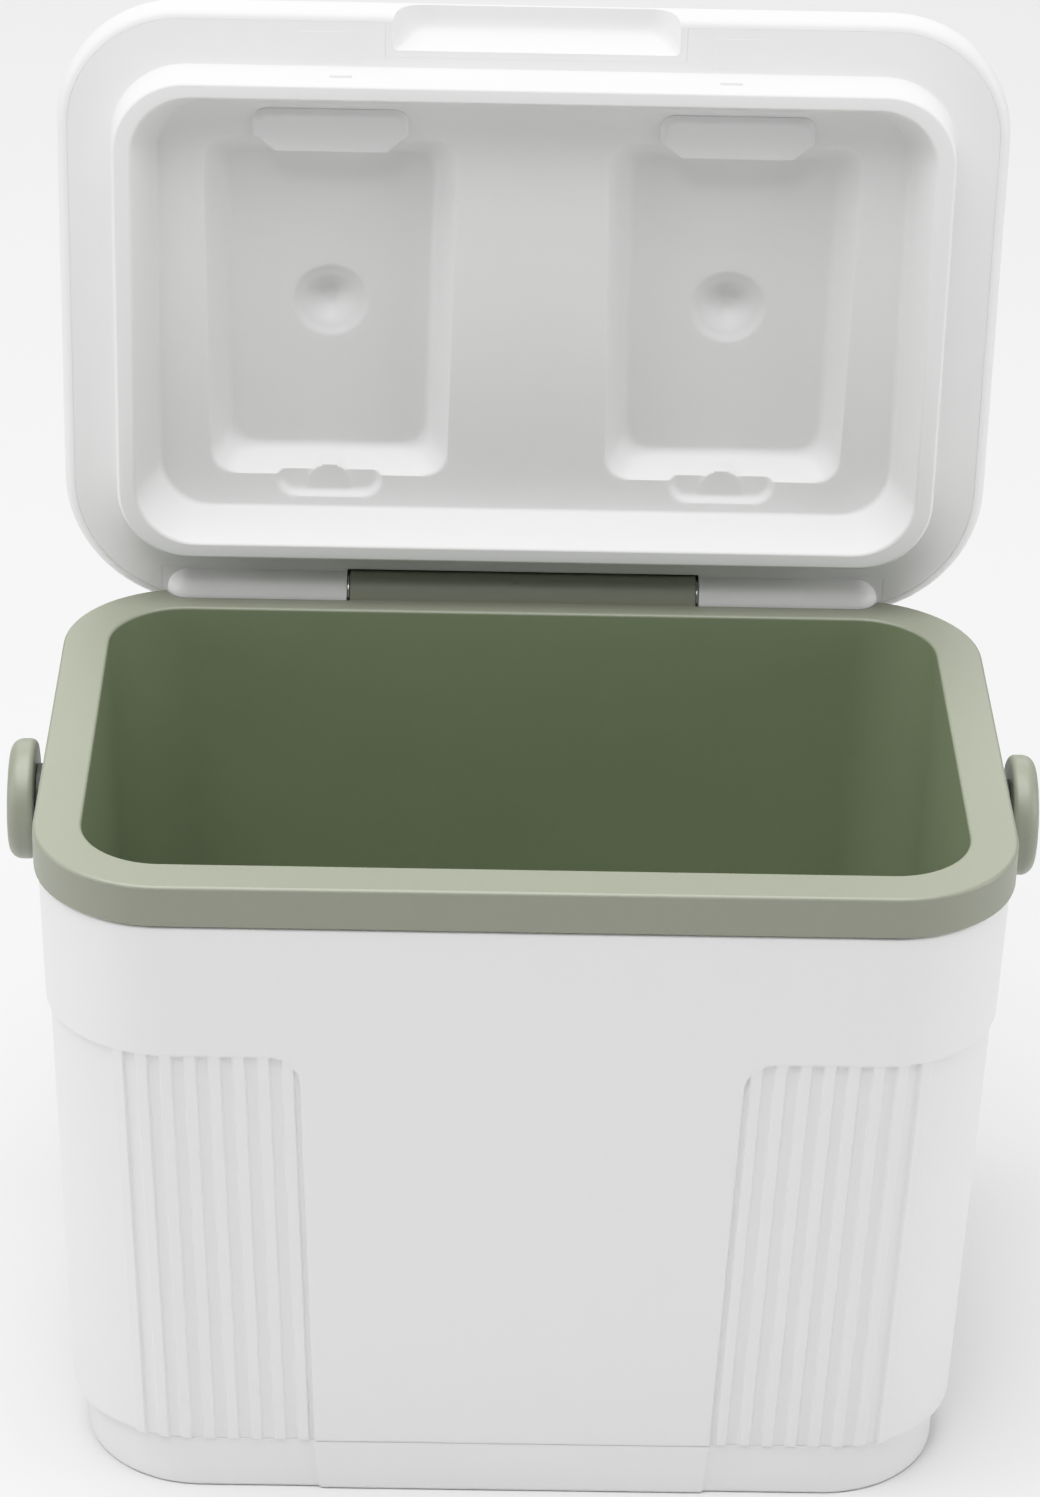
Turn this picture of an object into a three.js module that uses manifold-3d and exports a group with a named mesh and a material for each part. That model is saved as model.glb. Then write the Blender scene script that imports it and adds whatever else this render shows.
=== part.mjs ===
// Hard-sided portable cooler box: white outer shell, green inner liner with a
// wide collar, hinged insulated lid and a swinging carry handle.
//
// Millimetres, +Z up. Origin: centre of the flat underside. The front faces -Y
// and the hinge runs along X at the back of the collar. The lid stands open at
// LID_OPEN_DEG and the handle hangs behind the box.

import * as THREE from 'three';
import { mergeVertices } from 'three/addons/utils/BufferGeometryUtils.js';
import Module from 'manifold-3d';

const wasm = await Module();
wasm.setup();

// ---------------------------------------------------------------- dimensions
const COLLAR_X = 180.0;        // half width of the collar
const COLLAR_Y = 120.0;        // half depth of the collar
const COLLAR_R = 48.0;         // collar corner radius
const RIM_Z = 267.8;           // top of the collar
const COLLAR_BOTTOM_Z = 251.4; // lower edge of the collar's skirt
const MOUTH_X = 162.2;         // half width of the opening
const MOUTH_Y = 102.4;         // half depth of the opening
const MOUTH_R = 30.0;
const FLOOR_X = 155.6;         // half width of the inner floor
const FLOOR_Y = 95.8;
const FLOOR_Z = 24.0;          // inner floor
const LINER_T = 2.2;           // liner wall
const SHELL_T = 2.5;           // shell wall
const SHELL_TOP_Z = 250.9;     // shell shoulder under the collar
const LIP_TOP_Z = 264.0;       // shell lip inside the collar
const BASE_X = 164.5;          // half width of the base band
const BASE_Y = 114.2;          // half depth of the base band
const BASE_TOP_Z = 23.0;       // base band height
const PANEL_PROUD = 1.6;       // smooth panels stand this far off the ribbed ones
const BAND_Z = 196.0;          // lower edge of the smooth upper band
const RIB_COUNT = 8;           // ribs in each corner panel
const RIB_W = 4.5;
const RIB_H = 1.15;
const RIB_PITCH = 8.9;
const RIB_FIRST = 85.6;        // centre of the first rib at BAND_Z
const RIB_SHIFT = 6.1;         // how far the ribs lean in towards the base
const GAP = 0.3;               // assembly gap

const HINGE_Y = 120.0;         // hinge axis, level with the rim
const HINGE_Z = RIM_Z;
const HINGE_R = 8.5;           // knuckle and hinge block radius
const BLOCK_X = 69.4;          // half width of the liner's hinge block
const KNUCKLE_X0 = 70.2;       // knuckles run from here ...
const KNUCKLE_X1 = 141.0;      // ... to here, on both sides
const PIN_R = 2.0;
const PIN_X0 = 46.0;
const PIN_X1 = 138.0;
const LID_OPEN_DEG = 90;       // opening of the lid as placed

const LID_X = 182.3;           // lid half width
const LID_FRONT = 243.0;       // hinge axis to the lid's front
const LID_BACK = 8.5;          // hinge axis to the lid's back
const LID_RF = 48.0;           // lid front corner radius
const LID_RB = 55.0;           // lid back corner radius
const LID_FACE = 0.5;          // lid underside above the rim when shut
const LID_SEAM = 4.2;          // the inner panel's edge inside the lid's outline
const LID_TOP = 23.0;          // crown of the lid above the rim
const PLUG_DEPTH = 18.0;       // ridge below the rim plane when shut
const PLUG_X = 160.9;          // ridge half width
const PLUG_V0 = 21.2;          // ridge, hinge side
const PLUG_V1 = 220.6;         // ridge, front side
const PLUG_R = 29.0;
const POCKET_DEPTH = 11.0;
const POCKET_C = 77.6;         // pocket centre from the middle
const POCKET_V0 = 51.0;
const POCKET_V1 = 192.0;
const PULL_X = 54.0;           // half width of the finger pull
const PULL_V = 228.0;          // inner edge of the finger pull
const PULL_DEPTH = 9.0;          // depth of its back wall above the rim plane

const PIVOT_Z = 236.7;         // handle pivots at mid depth
const PIVOT_R = 7.0;
const HUB_R = 23.0;
const HUB_X0 = 185.0;          // inner face of the handle's hubs and arms
const HUB_X1 = 195.0;          // outer face
const BAIL_L = 148.0;          // pivot to the middle of the grip bar
const BAIL_W = 18.0;           // width of the arms and grip
const BAIL_T = 16.0;           // thickness of the grip bar
const BAIL_REST_DEG = 28.9;    // arms point back and down by this angle

// ------------------------------------------------------------------ materials
const mat = (color, roughness, metalness = 0) =>
  new THREE.MeshStandardMaterial({ color, roughness, metalness });
const WHITE = () => mat(0xe9e9e7, 0.45);
const GREEN = () => mat(0x8b957c, 0.5);
const FOAM = () => mat(0xf1ead6, 0.9);
const STEEL = () => mat(0xb9bcc0, 0.3, 1);

// -------------------------------------------------------------------- helpers
const V2 = (x, y) => new THREE.Vector2(x, y);

// Rounded rectangle, counter-clockwise. r = [++, -+, --, +-] corner radii.
function rrect(x0, x1, y0, y1, r, seg = 5) {
  const rr = Array.isArray(r) ? r : [r, r, r, r];
  const c = [
    [x1 - rr[0], y1 - rr[0], 0, rr[0]],
    [x0 + rr[1], y1 - rr[1], 90, rr[1]],
    [x0 + rr[2], y0 + rr[2], 180, rr[2]],
    [x1 - rr[3], y0 + rr[3], 270, rr[3]],
  ];
  const out = [];
  for (const [cx, cy, a0, rad] of c) {
    for (let i = 0; i <= seg; i++) {
      const a = THREE.MathUtils.degToRad(a0 + (90 * i) / seg);
      out.push(V2(cx + rad * Math.cos(a), cy + rad * Math.sin(a)));
    }
  }
  return out;
}
const rr = (hx, hy, r, seg = 5) => rrect(-hx, hx, -hy, hy, r, seg);

// Closed solid through a stack of rings [[points, z], ...] of equal length.
function loft(stack) {
  const rings = THREE.ShapeUtils.area(stack[0][0]) < 0 ? stack.map(([p, z]) => [p.slice().reverse(), z]) : stack;
  const n = rings[0][0].length;
  const pos = [];
  const idx = [];
  for (const [pts, z] of rings) for (const p of pts) pos.push(p.x, p.y, z);
  for (let k = 0; k + 1 < rings.length; k++) {
    for (let i = 0; i < n; i++) {
      const a = k * n + i;
      const b = k * n + ((i + 1) % n);
      idx.push(a, b, b + n, a, b + n, a + n);
    }
  }
  const cap = (k, flip) => {
    for (const [a, b, c] of THREE.ShapeUtils.triangulateShape(rings[k][0], [])) {
      if (flip) idx.push(k * n + a, k * n + c, k * n + b);
      else idx.push(k * n + a, k * n + b, k * n + c);
    }
  };
  cap(0, true);
  cap(rings.length - 1, false);
  const g = new THREE.BufferGeometry();
  g.setAttribute('position', new THREE.Float32BufferAttribute(pos, 3));
  g.setIndex(idx);
  return g;
}

// Extrude a 2-D outline along X: outline is in (y, z).
function extrudeX(pts, x0, x1) {
  const g = new THREE.ExtrudeGeometry(new THREE.Shape(pts), { depth: x1 - x0, bevelEnabled: false });
  // shape (x, y) -> (y, z), depth -> x
  g.applyMatrix4(new THREE.Matrix4().set(0, 0, 1, x0, 1, 0, 0, 0, 0, 1, 0, 0, 0, 0, 0, 1));
  return g;
}
// Extrude a 2-D outline along Y: outline is in (x, z).
function extrudeY(shape, y0, y1, curveSegments = 6) {
  const g = new THREE.ExtrudeGeometry(shape, { depth: y1 - y0, bevelEnabled: false, curveSegments });
  // shape (x, y) -> (x, z), depth -> -y
  g.applyMatrix4(new THREE.Matrix4().set(1, 0, 0, 0, 0, 0, -1, y1, 0, 1, 0, 0, 0, 0, 0, 1));
  return g;
}
const box = (x0, x1, y0, y1, z0, z1) =>
  new THREE.BoxGeometry(x1 - x0, y1 - y0, z1 - z0).translate((x0 + x1) / 2, (y0 + y1) / 2, (z0 + z1) / 2);
const cylX = (r, x0, x1, y, z, seg = 20) =>
  new THREE.CylinderGeometry(r, r, x1 - x0, seg).rotateZ(Math.PI / 2).translate((x0 + x1) / 2, y, z);
const cylZ = (r, z0, z1, x, y, seg = 20) =>
  new THREE.CylinderGeometry(r, r, z1 - z0, seg).rotateX(Math.PI / 2).translate(x, y, (z0 + z1) / 2);
// Turned solid about X from a profile of [radius, x] pairs that starts and ends on the axis.
function turnX(profile, seg = 24) {
  const g = new THREE.LatheGeometry(profile.map(([r, x]) => V2(r, x)), seg);
  g.rotateZ(-Math.PI / 2); // +Y -> +X
  return g;
}

// three.js geometry <-> boolean solid
function solid(g) {
  let q = g.clone();
  q.deleteAttribute('normal');
  q.deleteAttribute('uv');
  q = mergeVertices(q, 1e-4);
  const p = q.attributes.position.array;
  let ix = Array.from(q.index.array);
  const tri = [];
  for (let i = 0; i < ix.length; i += 3) {
    const [a, b, c] = [ix[i], ix[i + 1], ix[i + 2]];
    if (a !== b && b !== c && a !== c) tri.push(a, b, c);
  }
  let m = new wasm.Manifold(new wasm.Mesh({ numProp: 3, vertProperties: new Float32Array(p), triVerts: new Uint32Array(tri) }));
  if (m.volume() < 0) {
    for (let i = 0; i < tri.length; i += 3) [tri[i + 1], tri[i + 2]] = [tri[i + 2], tri[i + 1]];
    m = new wasm.Manifold(new wasm.Mesh({ numProp: 3, vertProperties: new Float32Array(p), triVerts: new Uint32Array(tri) }));
  }
  return m;
}
const S = (g) => (g.isBufferGeometry ? solid(g) : g);
const join = (...a) => a.map(S).reduce((x, y) => x.add(y));
const cut = (a, ...b) => b.map(S).reduce((x, y) => x.subtract(y), S(a));
const common = (a, b) => S(a).intersect(S(b));
function geometry(m) {
  const q = m.getMesh();
  const g = new THREE.BufferGeometry();
  const v = new Float32Array((q.vertProperties.length / q.numProp) * 3);
  for (let i = 0; i < v.length / 3; i++) {
    v[i * 3] = q.vertProperties[i * q.numProp];
    v[i * 3 + 1] = q.vertProperties[i * q.numProp + 1];
    v[i * 3 + 2] = q.vertProperties[i * q.numProp + 2];
  }
  g.setAttribute('position', new THREE.BufferAttribute(v, 3));
  g.setIndex(new THREE.BufferAttribute(new Uint32Array(q.triVerts), 1));
  g.computeVertexNormals();
  return g;
}
function mesh(name, shape, material) {
  const g = shape.isBufferGeometry ? geometry(solid(shape)) : geometry(shape);
  const m = new THREE.Mesh(g, material);
  m.name = name;
  return m;
}

// ------------------------------------------------------- surfaces of the shell
const topX = (z) => 171.3 + (7.1 * z) / 251;   // smooth (proud) level, half width
const topY = (z) => 115.3 + (4.1 * z) / 251;   // smooth (proud) level, half depth
const ribX = (z) => topX(z) - PANEL_PROUD;     // recessed level
const ribY = (z) => topY(z) - PANEL_PROUD;
const ringP = (z, d = 0, seg = 6) => [rr(topX(z) - d, topY(z) - d, COLLAR_R - d, seg), z];
const ringQ = (z, d = 0, seg = 6) => [rr(ribX(z) - d, ribY(z) - d, COLLAR_R - 1 - d, seg), z];

// Centre panel outline: straight leaning edges that flare into the upper band.
function panelShape(hBottom, hTop, zBottom, flare, reach) {
  const s = new THREE.Shape();
  s.moveTo(-reach, BAND_Z);
  s.lineTo(-hTop - flare, BAND_Z);
  s.absarc(-hTop - flare, BAND_Z - flare, flare, Math.PI / 2, 0, true);
  s.lineTo(-hBottom, zBottom);
  s.lineTo(hBottom, zBottom);
  s.lineTo(hTop, BAND_Z - flare);
  s.absarc(hTop + flare, BAND_Z - flare, flare, Math.PI, Math.PI / 2, true);
  s.lineTo(reach, BAND_Z);
  s.lineTo(reach, 262);
  s.lineTo(-reach, 262);
  s.closePath();
  return s;
}

// A point on the front half of the recessed outline at a given x, with its normal.
function onOutline(hx, hy, r, x) {
  const cx = hx - r;
  if (Math.abs(x) <= cx) return { p: V2(x, -hy), n: V2(0, -1) };
  const dx = Math.abs(x) - cx;
  const dy = Math.sqrt(Math.max(r * r - dx * dx, 0));
  const n = V2((Math.sign(x) * dx) / r, -dy / r);
  return { p: V2(x, -(hy - r) - dy), n };
}
function rib(i, side, back) {
  const rings = [];
  for (const z of [BASE_TOP_Z - 0.8, BAND_Z + 0.8]) {
    const xc = RIB_FIRST + RIB_PITCH * i - (RIB_SHIFT * (BAND_Z - z)) / (BAND_Z - BASE_TOP_Z);
    const q = onOutline(ribX(z), ribY(z), COLLAR_R - 1, xc);
    const t = V2(-q.n.y, q.n.x);
    const at = (a, b) => V2(q.p.x + t.x * a + q.n.x * b, q.p.y + t.y * a + q.n.y * b);
    let pts = [at(-RIB_W / 2, -1.2), at(RIB_W / 2, -1.2), at(RIB_W / 2 - 0.7, RIB_H), at(-RIB_W / 2 + 0.7, RIB_H)];
    if (side < 0) pts = pts.map((p) => V2(-p.x, p.y)).reverse();
    if (back) pts = pts.map((p) => V2(p.x, -p.y)).reverse();
    rings.push([pts, z]);
  }
  return loft(rings);
}

// ---------------------------------------------------------------- outer shell
const smooth = loft([ringP(-1), ringP(SHELL_TOP_Z)]);
let shell = S(loft([
  [rr(BASE_X - 1.6, BASE_Y - 1.6, COLLAR_R - 3, 6), 0],
  [rr(BASE_X, BASE_Y, COLLAR_R - 2, 6), 1.6],
  [rr(BASE_X + 0.6, BASE_Y + 0.2, COLLAR_R - 2, 6), BASE_TOP_Z],
  ringQ(BASE_TOP_Z),
  ringQ(BAND_Z),
  ringQ(SHELL_TOP_Z),
]));
const frontPanel = common(smooth, extrudeY(panelShape(73.4, 80.9, -0.5, 11.5, 200), -130, 130, 4));
const sideShape = panelShape(44.0, 50.0, BASE_TOP_Z, 11.5, 140);
const sideBlank = new THREE.ExtrudeGeometry(sideShape, { depth: 400, bevelEnabled: false, curveSegments: 4 });
sideBlank.applyMatrix4(new THREE.Matrix4().set(0, 0, 1, -200, 1, 0, 0, 0, 0, 1, 0, 0, 0, 0, 0, 1));
const sidePanel = common(common(smooth, sideBlank), box(-200, 200, -140, 140, BASE_TOP_Z, 262));
shell = join(shell, cut(frontPanel, box(-200, 200, -140, 140, -5, 0)), sidePanel);
for (const side of [-1, 1]) {
  for (const back of [false, true]) {
    for (let i = 0; i < RIB_COUNT; i++) shell = shell.add(S(rib(i, side, back)));
  }
}
// lip that reaches up inside the collar
shell = join(shell, loft([[rr(177.2, 117.2, 45.2, 6), SHELL_TOP_Z - 4], [rr(177.2, 117.2, 45.2, 6), LIP_TOP_Z]]));
shell = cut(shell, loft([
  [rr(BASE_X - 2.7, BASE_Y - 2.7, 43.3, 6), SHELL_T],
  [rr(BASE_X - 2.7, BASE_Y - 2.7, 43.3, 6), BASE_TOP_Z + 2.5],
  ringQ(BASE_TOP_Z + 4.5, SHELL_T),
  ringQ(SHELL_TOP_Z - 6, SHELL_T),
  [rr(174.4, 114.4, 42.4, 6), SHELL_TOP_Z - 3],
  [rr(174.4, 114.4, 42.4, 6), LIP_TOP_Z + 5],
]));
// the lip is left out along the hinge; pivot holes; foam filling hole underneath
shell = cut(shell,
  box(-147, 147, 100, 125, SHELL_TOP_Z, LIP_TOP_Z + 5),
  cylX(PIVOT_R + 0.4, -190, -165, 0, PIVOT_Z, 20),
  cylX(PIVOT_R + 0.4, 165, 190, 0, PIVOT_Z, 20),
  cylZ(8.0, -2, 5, 0, 62, 20));

// ---------------------------------------------------------------- inner liner
const collar = S(loft([
  [rr(COLLAR_X, COLLAR_Y, COLLAR_R, 7), COLLAR_BOTTOM_Z],
  [rr(COLLAR_X, COLLAR_Y, COLLAR_R, 7), RIM_Z - 1],
  [rr(COLLAR_X - 1, COLLAR_Y - 1, COLLAR_R - 1, 7), RIM_Z],
]));
const tubOuter = S(loft([
  [rr(FLOOR_X + LINER_T - 6, FLOOR_Y + LINER_T - 6, 24, 6), FLOOR_Z - LINER_T],
  [rr(FLOOR_X + LINER_T, FLOOR_Y + LINER_T, 30, 6), FLOOR_Z + 4],
  [rr(MOUTH_X + LINER_T, MOUTH_Y + LINER_T, MOUTH_R + LINER_T, 6), RIM_Z - 2],
]));
const tubInner = S(loft([
  [rr(FLOOR_X - 6, FLOOR_Y - 6, 22, 6), FLOOR_Z],
  [rr(FLOOR_X, FLOOR_Y, 28, 6), FLOOR_Z + 6],
  [rr(MOUTH_X, MOUTH_Y, MOUTH_R, 6), RIM_Z],
  [rr(MOUTH_X, MOUTH_Y, MOUTH_R, 6), RIM_Z + 2],
]));
const channel = cut(
  loft([[rr(177.7, 117.7, 45.7, 7), COLLAR_BOTTOM_Z - 3], [rr(177.7, 117.7, 45.7, 7), RIM_Z - 2.8]]),
  loft([[rr(MOUTH_X + LINER_T, MOUTH_Y + LINER_T, MOUTH_R + LINER_T, 6), COLLAR_BOTTOM_Z - 5], [rr(MOUTH_X + LINER_T, MOUTH_Y + LINER_T, MOUTH_R + LINER_T, 6), RIM_Z]]));
const knuckleFloor = RIM_Z - HINGE_R - 0.5;
let liner = cut(collar, channel);
for (const s of [-1, 1]) {
  const [a, b] = s < 0 ? [-144, -BLOCK_X + 1] : [BLOCK_X - 1, 144];
  liner = join(liner, common(collar, box(a, b, MOUTH_Y + 1, 130, knuckleFloor - 2.2, RIM_Z - 1)));
}
liner = cut(join(liner, tubOuter), tubInner);
for (const s of [-1, 1]) {
  const [a, b] = s < 0 ? [-KNUCKLE_X1 - 0.5, -BLOCK_X + 0.5] : [BLOCK_X - 0.5, KNUCKLE_X1 + 0.5];
  liner = cut(liner, box(a, b, HINGE_Y - HINGE_R - 0.5, 135, knuckleFloor, RIM_Z + 5));
}
// hinge block: a half-round head on a web down the back of the collar
const blockPts = [];
for (let i = 0; i <= 12; i++) {
  const a = Math.PI - (Math.PI * i) / 12;
  blockPts.push(V2(HINGE_Y + HINGE_R * Math.cos(a), HINGE_Z + HINGE_R * Math.sin(a)));
}
blockPts.push(V2(HINGE_Y + HINGE_R, HINGE_Z - 7), V2(HINGE_Y - 0.5, COLLAR_BOTTOM_Z + 0.6), V2(HINGE_Y - HINGE_R, COLLAR_BOTTOM_Z + 6));
liner = join(liner, extrudeX(blockPts.slice().reverse(), -BLOCK_X, BLOCK_X));
for (const s of [-1, 1]) {
  const [a, b] = s < 0 ? [-BLOCK_X - 1, -PIN_X0 + 0.5] : [PIN_X0 - 0.5, BLOCK_X + 1];
  liner = cut(liner, cylX(PIN_R + GAP + 0.06, a, b, HINGE_Y, HINGE_Z, 14));
}

// ------------------------------------------------------------ body insulation
let foam = cut(
  loft([
    [rr(BASE_X - 3.1, BASE_Y - 3.1, 42.9, 6), SHELL_T + GAP],
    [rr(BASE_X - 3.1, BASE_Y - 3.1, 42.9, 6), BASE_TOP_Z + 3.0],
    ringQ(BASE_TOP_Z + 5.5, SHELL_T + 0.45),
    ringQ(244, SHELL_T + 0.45),
  ]),
  loft([
    [rr(FLOOR_X + LINER_T - 5.6, FLOOR_Y + LINER_T - 5.6, 24.4, 6), FLOOR_Z - LINER_T - GAP],
    [rr(FLOOR_X + LINER_T + 0.4, FLOOR_Y + LINER_T + 0.4, 30.4, 6), FLOOR_Z + 3.6],
    [rr(MOUTH_X + LINER_T + 0.5, MOUTH_Y + LINER_T + 0.5, MOUTH_R + LINER_T + 0.5, 6), 262],
  ]),
  cylX(14.0, -190, -140, 0, PIVOT_Z, 12),
  cylX(14.0, 140, 190, 0, PIVOT_Z, 12),
  cylZ(9.3, -2, 6, 0, 62, 20));

// ----------------------------------------------- small parts fixed to the body
const fillPlug = join(cylZ(7.6, 0.4, 3.4, 0, 62, 20), cylZ(8.6, 2.9, 4.6, 0, 62, 20));
const pinAt = (s) => cylX(PIN_R, s < 0 ? -PIN_X1 : PIN_X0, s < 0 ? -PIN_X0 : PIN_X1, HINGE_Y, HINGE_Z, 14);

// Handle stud: flange inside the wall, shank out through the wall and the hub,
// with a blind hole for its screw. Drawn for +X and mirrored for -X.
function stud() {
  const body = turnX([[0, 170.8], [12.5, 170.8], [12.5, 173.3], [PIVOT_R, 173.3], [PIVOT_R, 191.2], [0, 191.2]], 20);
  return cut(body, cylX(1.9, 176.5, 192, 0, 0, 10));
}
const spacer = () => cut(cylX(13.6, 179.2, 184.6, 0, 0, 24), cylX(PIVOT_R + 0.4, 178, 186, 0, 0, 20));
const screw = () => join(
  cylX(1.6, 177.0, 191.8, 0, 0, 10),
  turnX([[0, 192.3], [4.0, 192.3], [3.4, 193.4], [1.8, 193.9], [0, 193.9]], 16),
  cylX(1.6, 191.5, 192.6, 0, 0, 10));
const washer = () => cut(cylX(8.6, 191.5, 192.0, 0, 0, 20), cylX(1.9, 191, 193, 0, 0, 10));
const cap = () => turnX([[0, 194.2], [11.2, 194.2], [11.2, 194.8], [10.4, 195.4], [0, 195.4]], 24);
const flipX = (m) => m.mirror ? m.mirror([1, 0, 0]) : m;

// ------------------------------------------------------------------------- lid
// Lid frame: x as in the box, y = -v (v runs from the hinge to the lid's front),
// z = n (n = height above the rim plane when the lid is shut).
const lidRing = (d, n, seg = 6) => [
  rrect(-LID_X + d, LID_X - d, -LID_FRONT + d, LID_BACK - d,
    [Math.max(LID_RB - d, 3), Math.max(LID_RB - d, 3), Math.max(LID_RF - d, 3), Math.max(LID_RF - d, 3)], seg), n];
const lidOuter = S(loft([
  lidRing(3.4, LID_FACE), lidRing(1.7, 1.3), lidRing(0.4, 3.4), lidRing(0, 6), lidRing(0, 9),
  lidRing(0.8, 12.4), lidRing(2.8, 15.2), lidRing(6.0, 17.3), lidRing(11, 18.6), lidRing(34, 20.9),
  lidRing(66, 22.5), lidRing(98, LID_TOP),
]));
const lidCavity = S(loft([
  lidRing(3.9, LID_FACE - 2), lidRing(3.9, 9), lidRing(4.4, 11.5), lidRing(6.0, 13.6), lidRing(9, 15.2),
  lidRing(13, 16.1), lidRing(36, 18.4), lidRing(68, 20.0), lidRing(98, 20.5),
]));
const knuckle = (s) => {
  const [a, b] = s < 0 ? [-KNUCKLE_X1, -KNUCKLE_X0] : [KNUCKLE_X0, KNUCKLE_X1];
  return join(cylX(HINGE_R, a, b, 0, 0, 24), box(a, b, -HINGE_R, 5, LID_FACE, 11));
};
const notch = join(cylX(HINGE_R + 0.8, -KNUCKLE_X0, KNUCKLE_X0, 0, 0, 24),
  box(-KNUCKLE_X0, KNUCKLE_X0, 0, 20, -12, HINGE_R + 0.8),
  box(-KNUCKLE_X0, KNUCKLE_X0, -HINGE_R - 0.8, 20, -12, LID_FACE));
const notchWall = common(lidOuter, box(-KNUCKLE_X0 - 2.5, KNUCKLE_X0 + 2.5, -HINGE_R - 3.3, 20, LID_FACE, HINGE_R + 3.3));
const pullBlock = common(lidOuter, box(-PULL_X - 3, PULL_X + 3, -LID_FRONT - 5, -PULL_V + 3, LID_FACE, PULL_DEPTH + 3));
const pullCut = loft([
  [rrect(-PULL_X - 1.5, PULL_X + 1.5, -LID_FRONT - 8, -PULL_V + 2, [3, 3, 1, 1], 3), -2],
  [rrect(-PULL_X, PULL_X, -LID_FRONT - 8, -PULL_V, [3, 3, 1, 1], 3), LID_FACE],
  [rrect(-PULL_X + 7, PULL_X - 7, -LID_FRONT - 8, -PULL_V - 7, [7, 7, 1, 1], 3), PULL_DEPTH],
]);
const rimNotch = (g) => join(
  box(-KNUCKLE_X1 - 3.5 - g, KNUCKLE_X1 + 3.5 + g, -HINGE_R - 3.5 - g, 20, -3, 12),
  box(-PULL_X - 3 - g, PULL_X + 3 + g, -LID_FRONT - 5, -PULL_V + 3 + g, -3, 12));
let cover = cut(lidOuter, lidCavity);
cover = join(cover, notchWall, pullBlock,
  common(lidOuter, box(-KNUCKLE_X1 - 3.2, KNUCKLE_X1 + 3.2, -HINGE_R - 3.3, 20, LID_FACE, 11)),
  knuckle(-1), knuckle(1));
cover = cut(cover, notch, pullCut,
  cylX(PIN_R + GAP + 0.06, -KNUCKLE_X1 + 2.5, -KNUCKLE_X0 + 1, 0, 0, 14),
  cylX(PIN_R + GAP + 0.06, KNUCKLE_X0 - 1, KNUCKLE_X1 - 2.5, 0, 0, 14));

// Inner panel: rim plate, plug ridge round a shallow dish, two ice-pack pockets.
const vrr = (hx, v0, v1, r, seg = 5) => rrect(-hx, hx, -v1, -v0, r, seg);
const PT = 2.4; // panel thickness
const ridge = loft([
  [vrr(PLUG_X - 1.6, PLUG_V0 + 1.0, PLUG_V1 - 1.0, PLUG_R - 1, 5), -PLUG_DEPTH],
  [vrr(PLUG_X - 0.6, PLUG_V0 + 0.2, PLUG_V1 - 0.2, PLUG_R, 5), -PLUG_DEPTH + 1.2],
  [vrr(PLUG_X, PLUG_V0, PLUG_V1, PLUG_R, 5), LID_FACE + 0.6],
]);
const ridgeInside = loft([
  [vrr(PLUG_X - PT - 0.6, PLUG_V0 + PT + 0.4, PLUG_V1 - PT - 0.4, PLUG_R - PT, 5), -PLUG_DEPTH + PT],
  [vrr(PLUG_X - PT, PLUG_V0 + PT, PLUG_V1 - PT, PLUG_R - PT, 5), LID_FACE + PT + 2],
]);
const dish = loft([
  [vrr(153.4, 28.2, 213.7, 23, 5), -PLUG_DEPTH - 1],
  [vrr(153.2, 28.4, 213.5, 23, 5), -PLUG_DEPTH],
  [vrr(143.9, 36.8, 206.8, 20, 5), LID_FACE],
]);
const dishBack = loft([
  [vrr(153.4 + PT, 28.2 - PT, 213.7 + PT, 24, 5), -PLUG_DEPTH - 1],
  [vrr(143.9 + PT, 36.8 - PT, 206.8 + PT, 22, 5), LID_FACE],
  [vrr(143.9 + PT, 36.8 - PT, 206.8 + PT, 22, 5), LID_FACE + PT],
]);
// pockets taper slightly towards the hinge
const pocketRing = (s, d, n, e = 0) => {
  const [w0, w1] = [46.2 - d, 48.7 - d]; // half widths at the hinge end and the front end
  const r = Math.max(9 - d * 0.2, 3);
  const c = s * POCKET_C + e;
  const v0 = POCKET_V0 + d;
  const v1 = POCKET_V1 - d;
  const out = [];
  const corners = [[1, -v0, 0], [-1, -v0, 90], [-1, -v1, 180], [1, -v1, 270]];
  for (const [sx, y, a0] of corners) {
    const w = y === -v0 ? w0 : w1;
    const cx = c + sx * (w - r);
    const cy = y === -v0 ? y - r : y + r;
    for (let i = 0; i <= 3; i++) {
      const a = THREE.MathUtils.degToRad(a0 + 30 * i);
      out.push(V2(cx + r * Math.cos(a), cy + r * Math.sin(a)));
    }
  }
  return [out, n];
};
const pocket = (s) => loft([pocketRing(s, -0.2, -2), pocketRing(s, 0, LID_FACE), pocketRing(s, 3.5, 6.5), pocketRing(s, 9, POCKET_DEPTH)]);
const tray = (s) => loft([pocketRing(s, -PT, LID_FACE), pocketRing(s, 3.5 - PT, 7.5), pocketRing(s, 9 - PT, POCKET_DEPTH + PT)]);
const dimple = (s, extra) => {
  const r = 24 + extra;
  return common(new THREE.SphereGeometry(r, 20, 12).rotateX(Math.PI / 2).translate(s * POCKET_C, -121, POCKET_DEPTH + 4.2 - 24),
    box(s * POCKET_C - 20, s * POCKET_C + 20, -141, -101, POCKET_DEPTH - (extra ? -0.4 : 1), 40));
};
// retaining tab over the front end of each pocket
const tab = (s) => {
  const c = s * POCKET_C;
  const g = loft([
    [[V2(c - 28.5, -199.5), V2(c + 28.5, -199.5), V2(c + 28.5, -191), V2(c - 28.5, -191)], LID_FACE - 0.1 + 0.3],
    [[V2(c - 22, -196), V2(c + 22, -196), V2(c + 21.2, -187), V2(c - 21.2, -187)], -2.2],
  ].reverse());
  return g;
};
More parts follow.
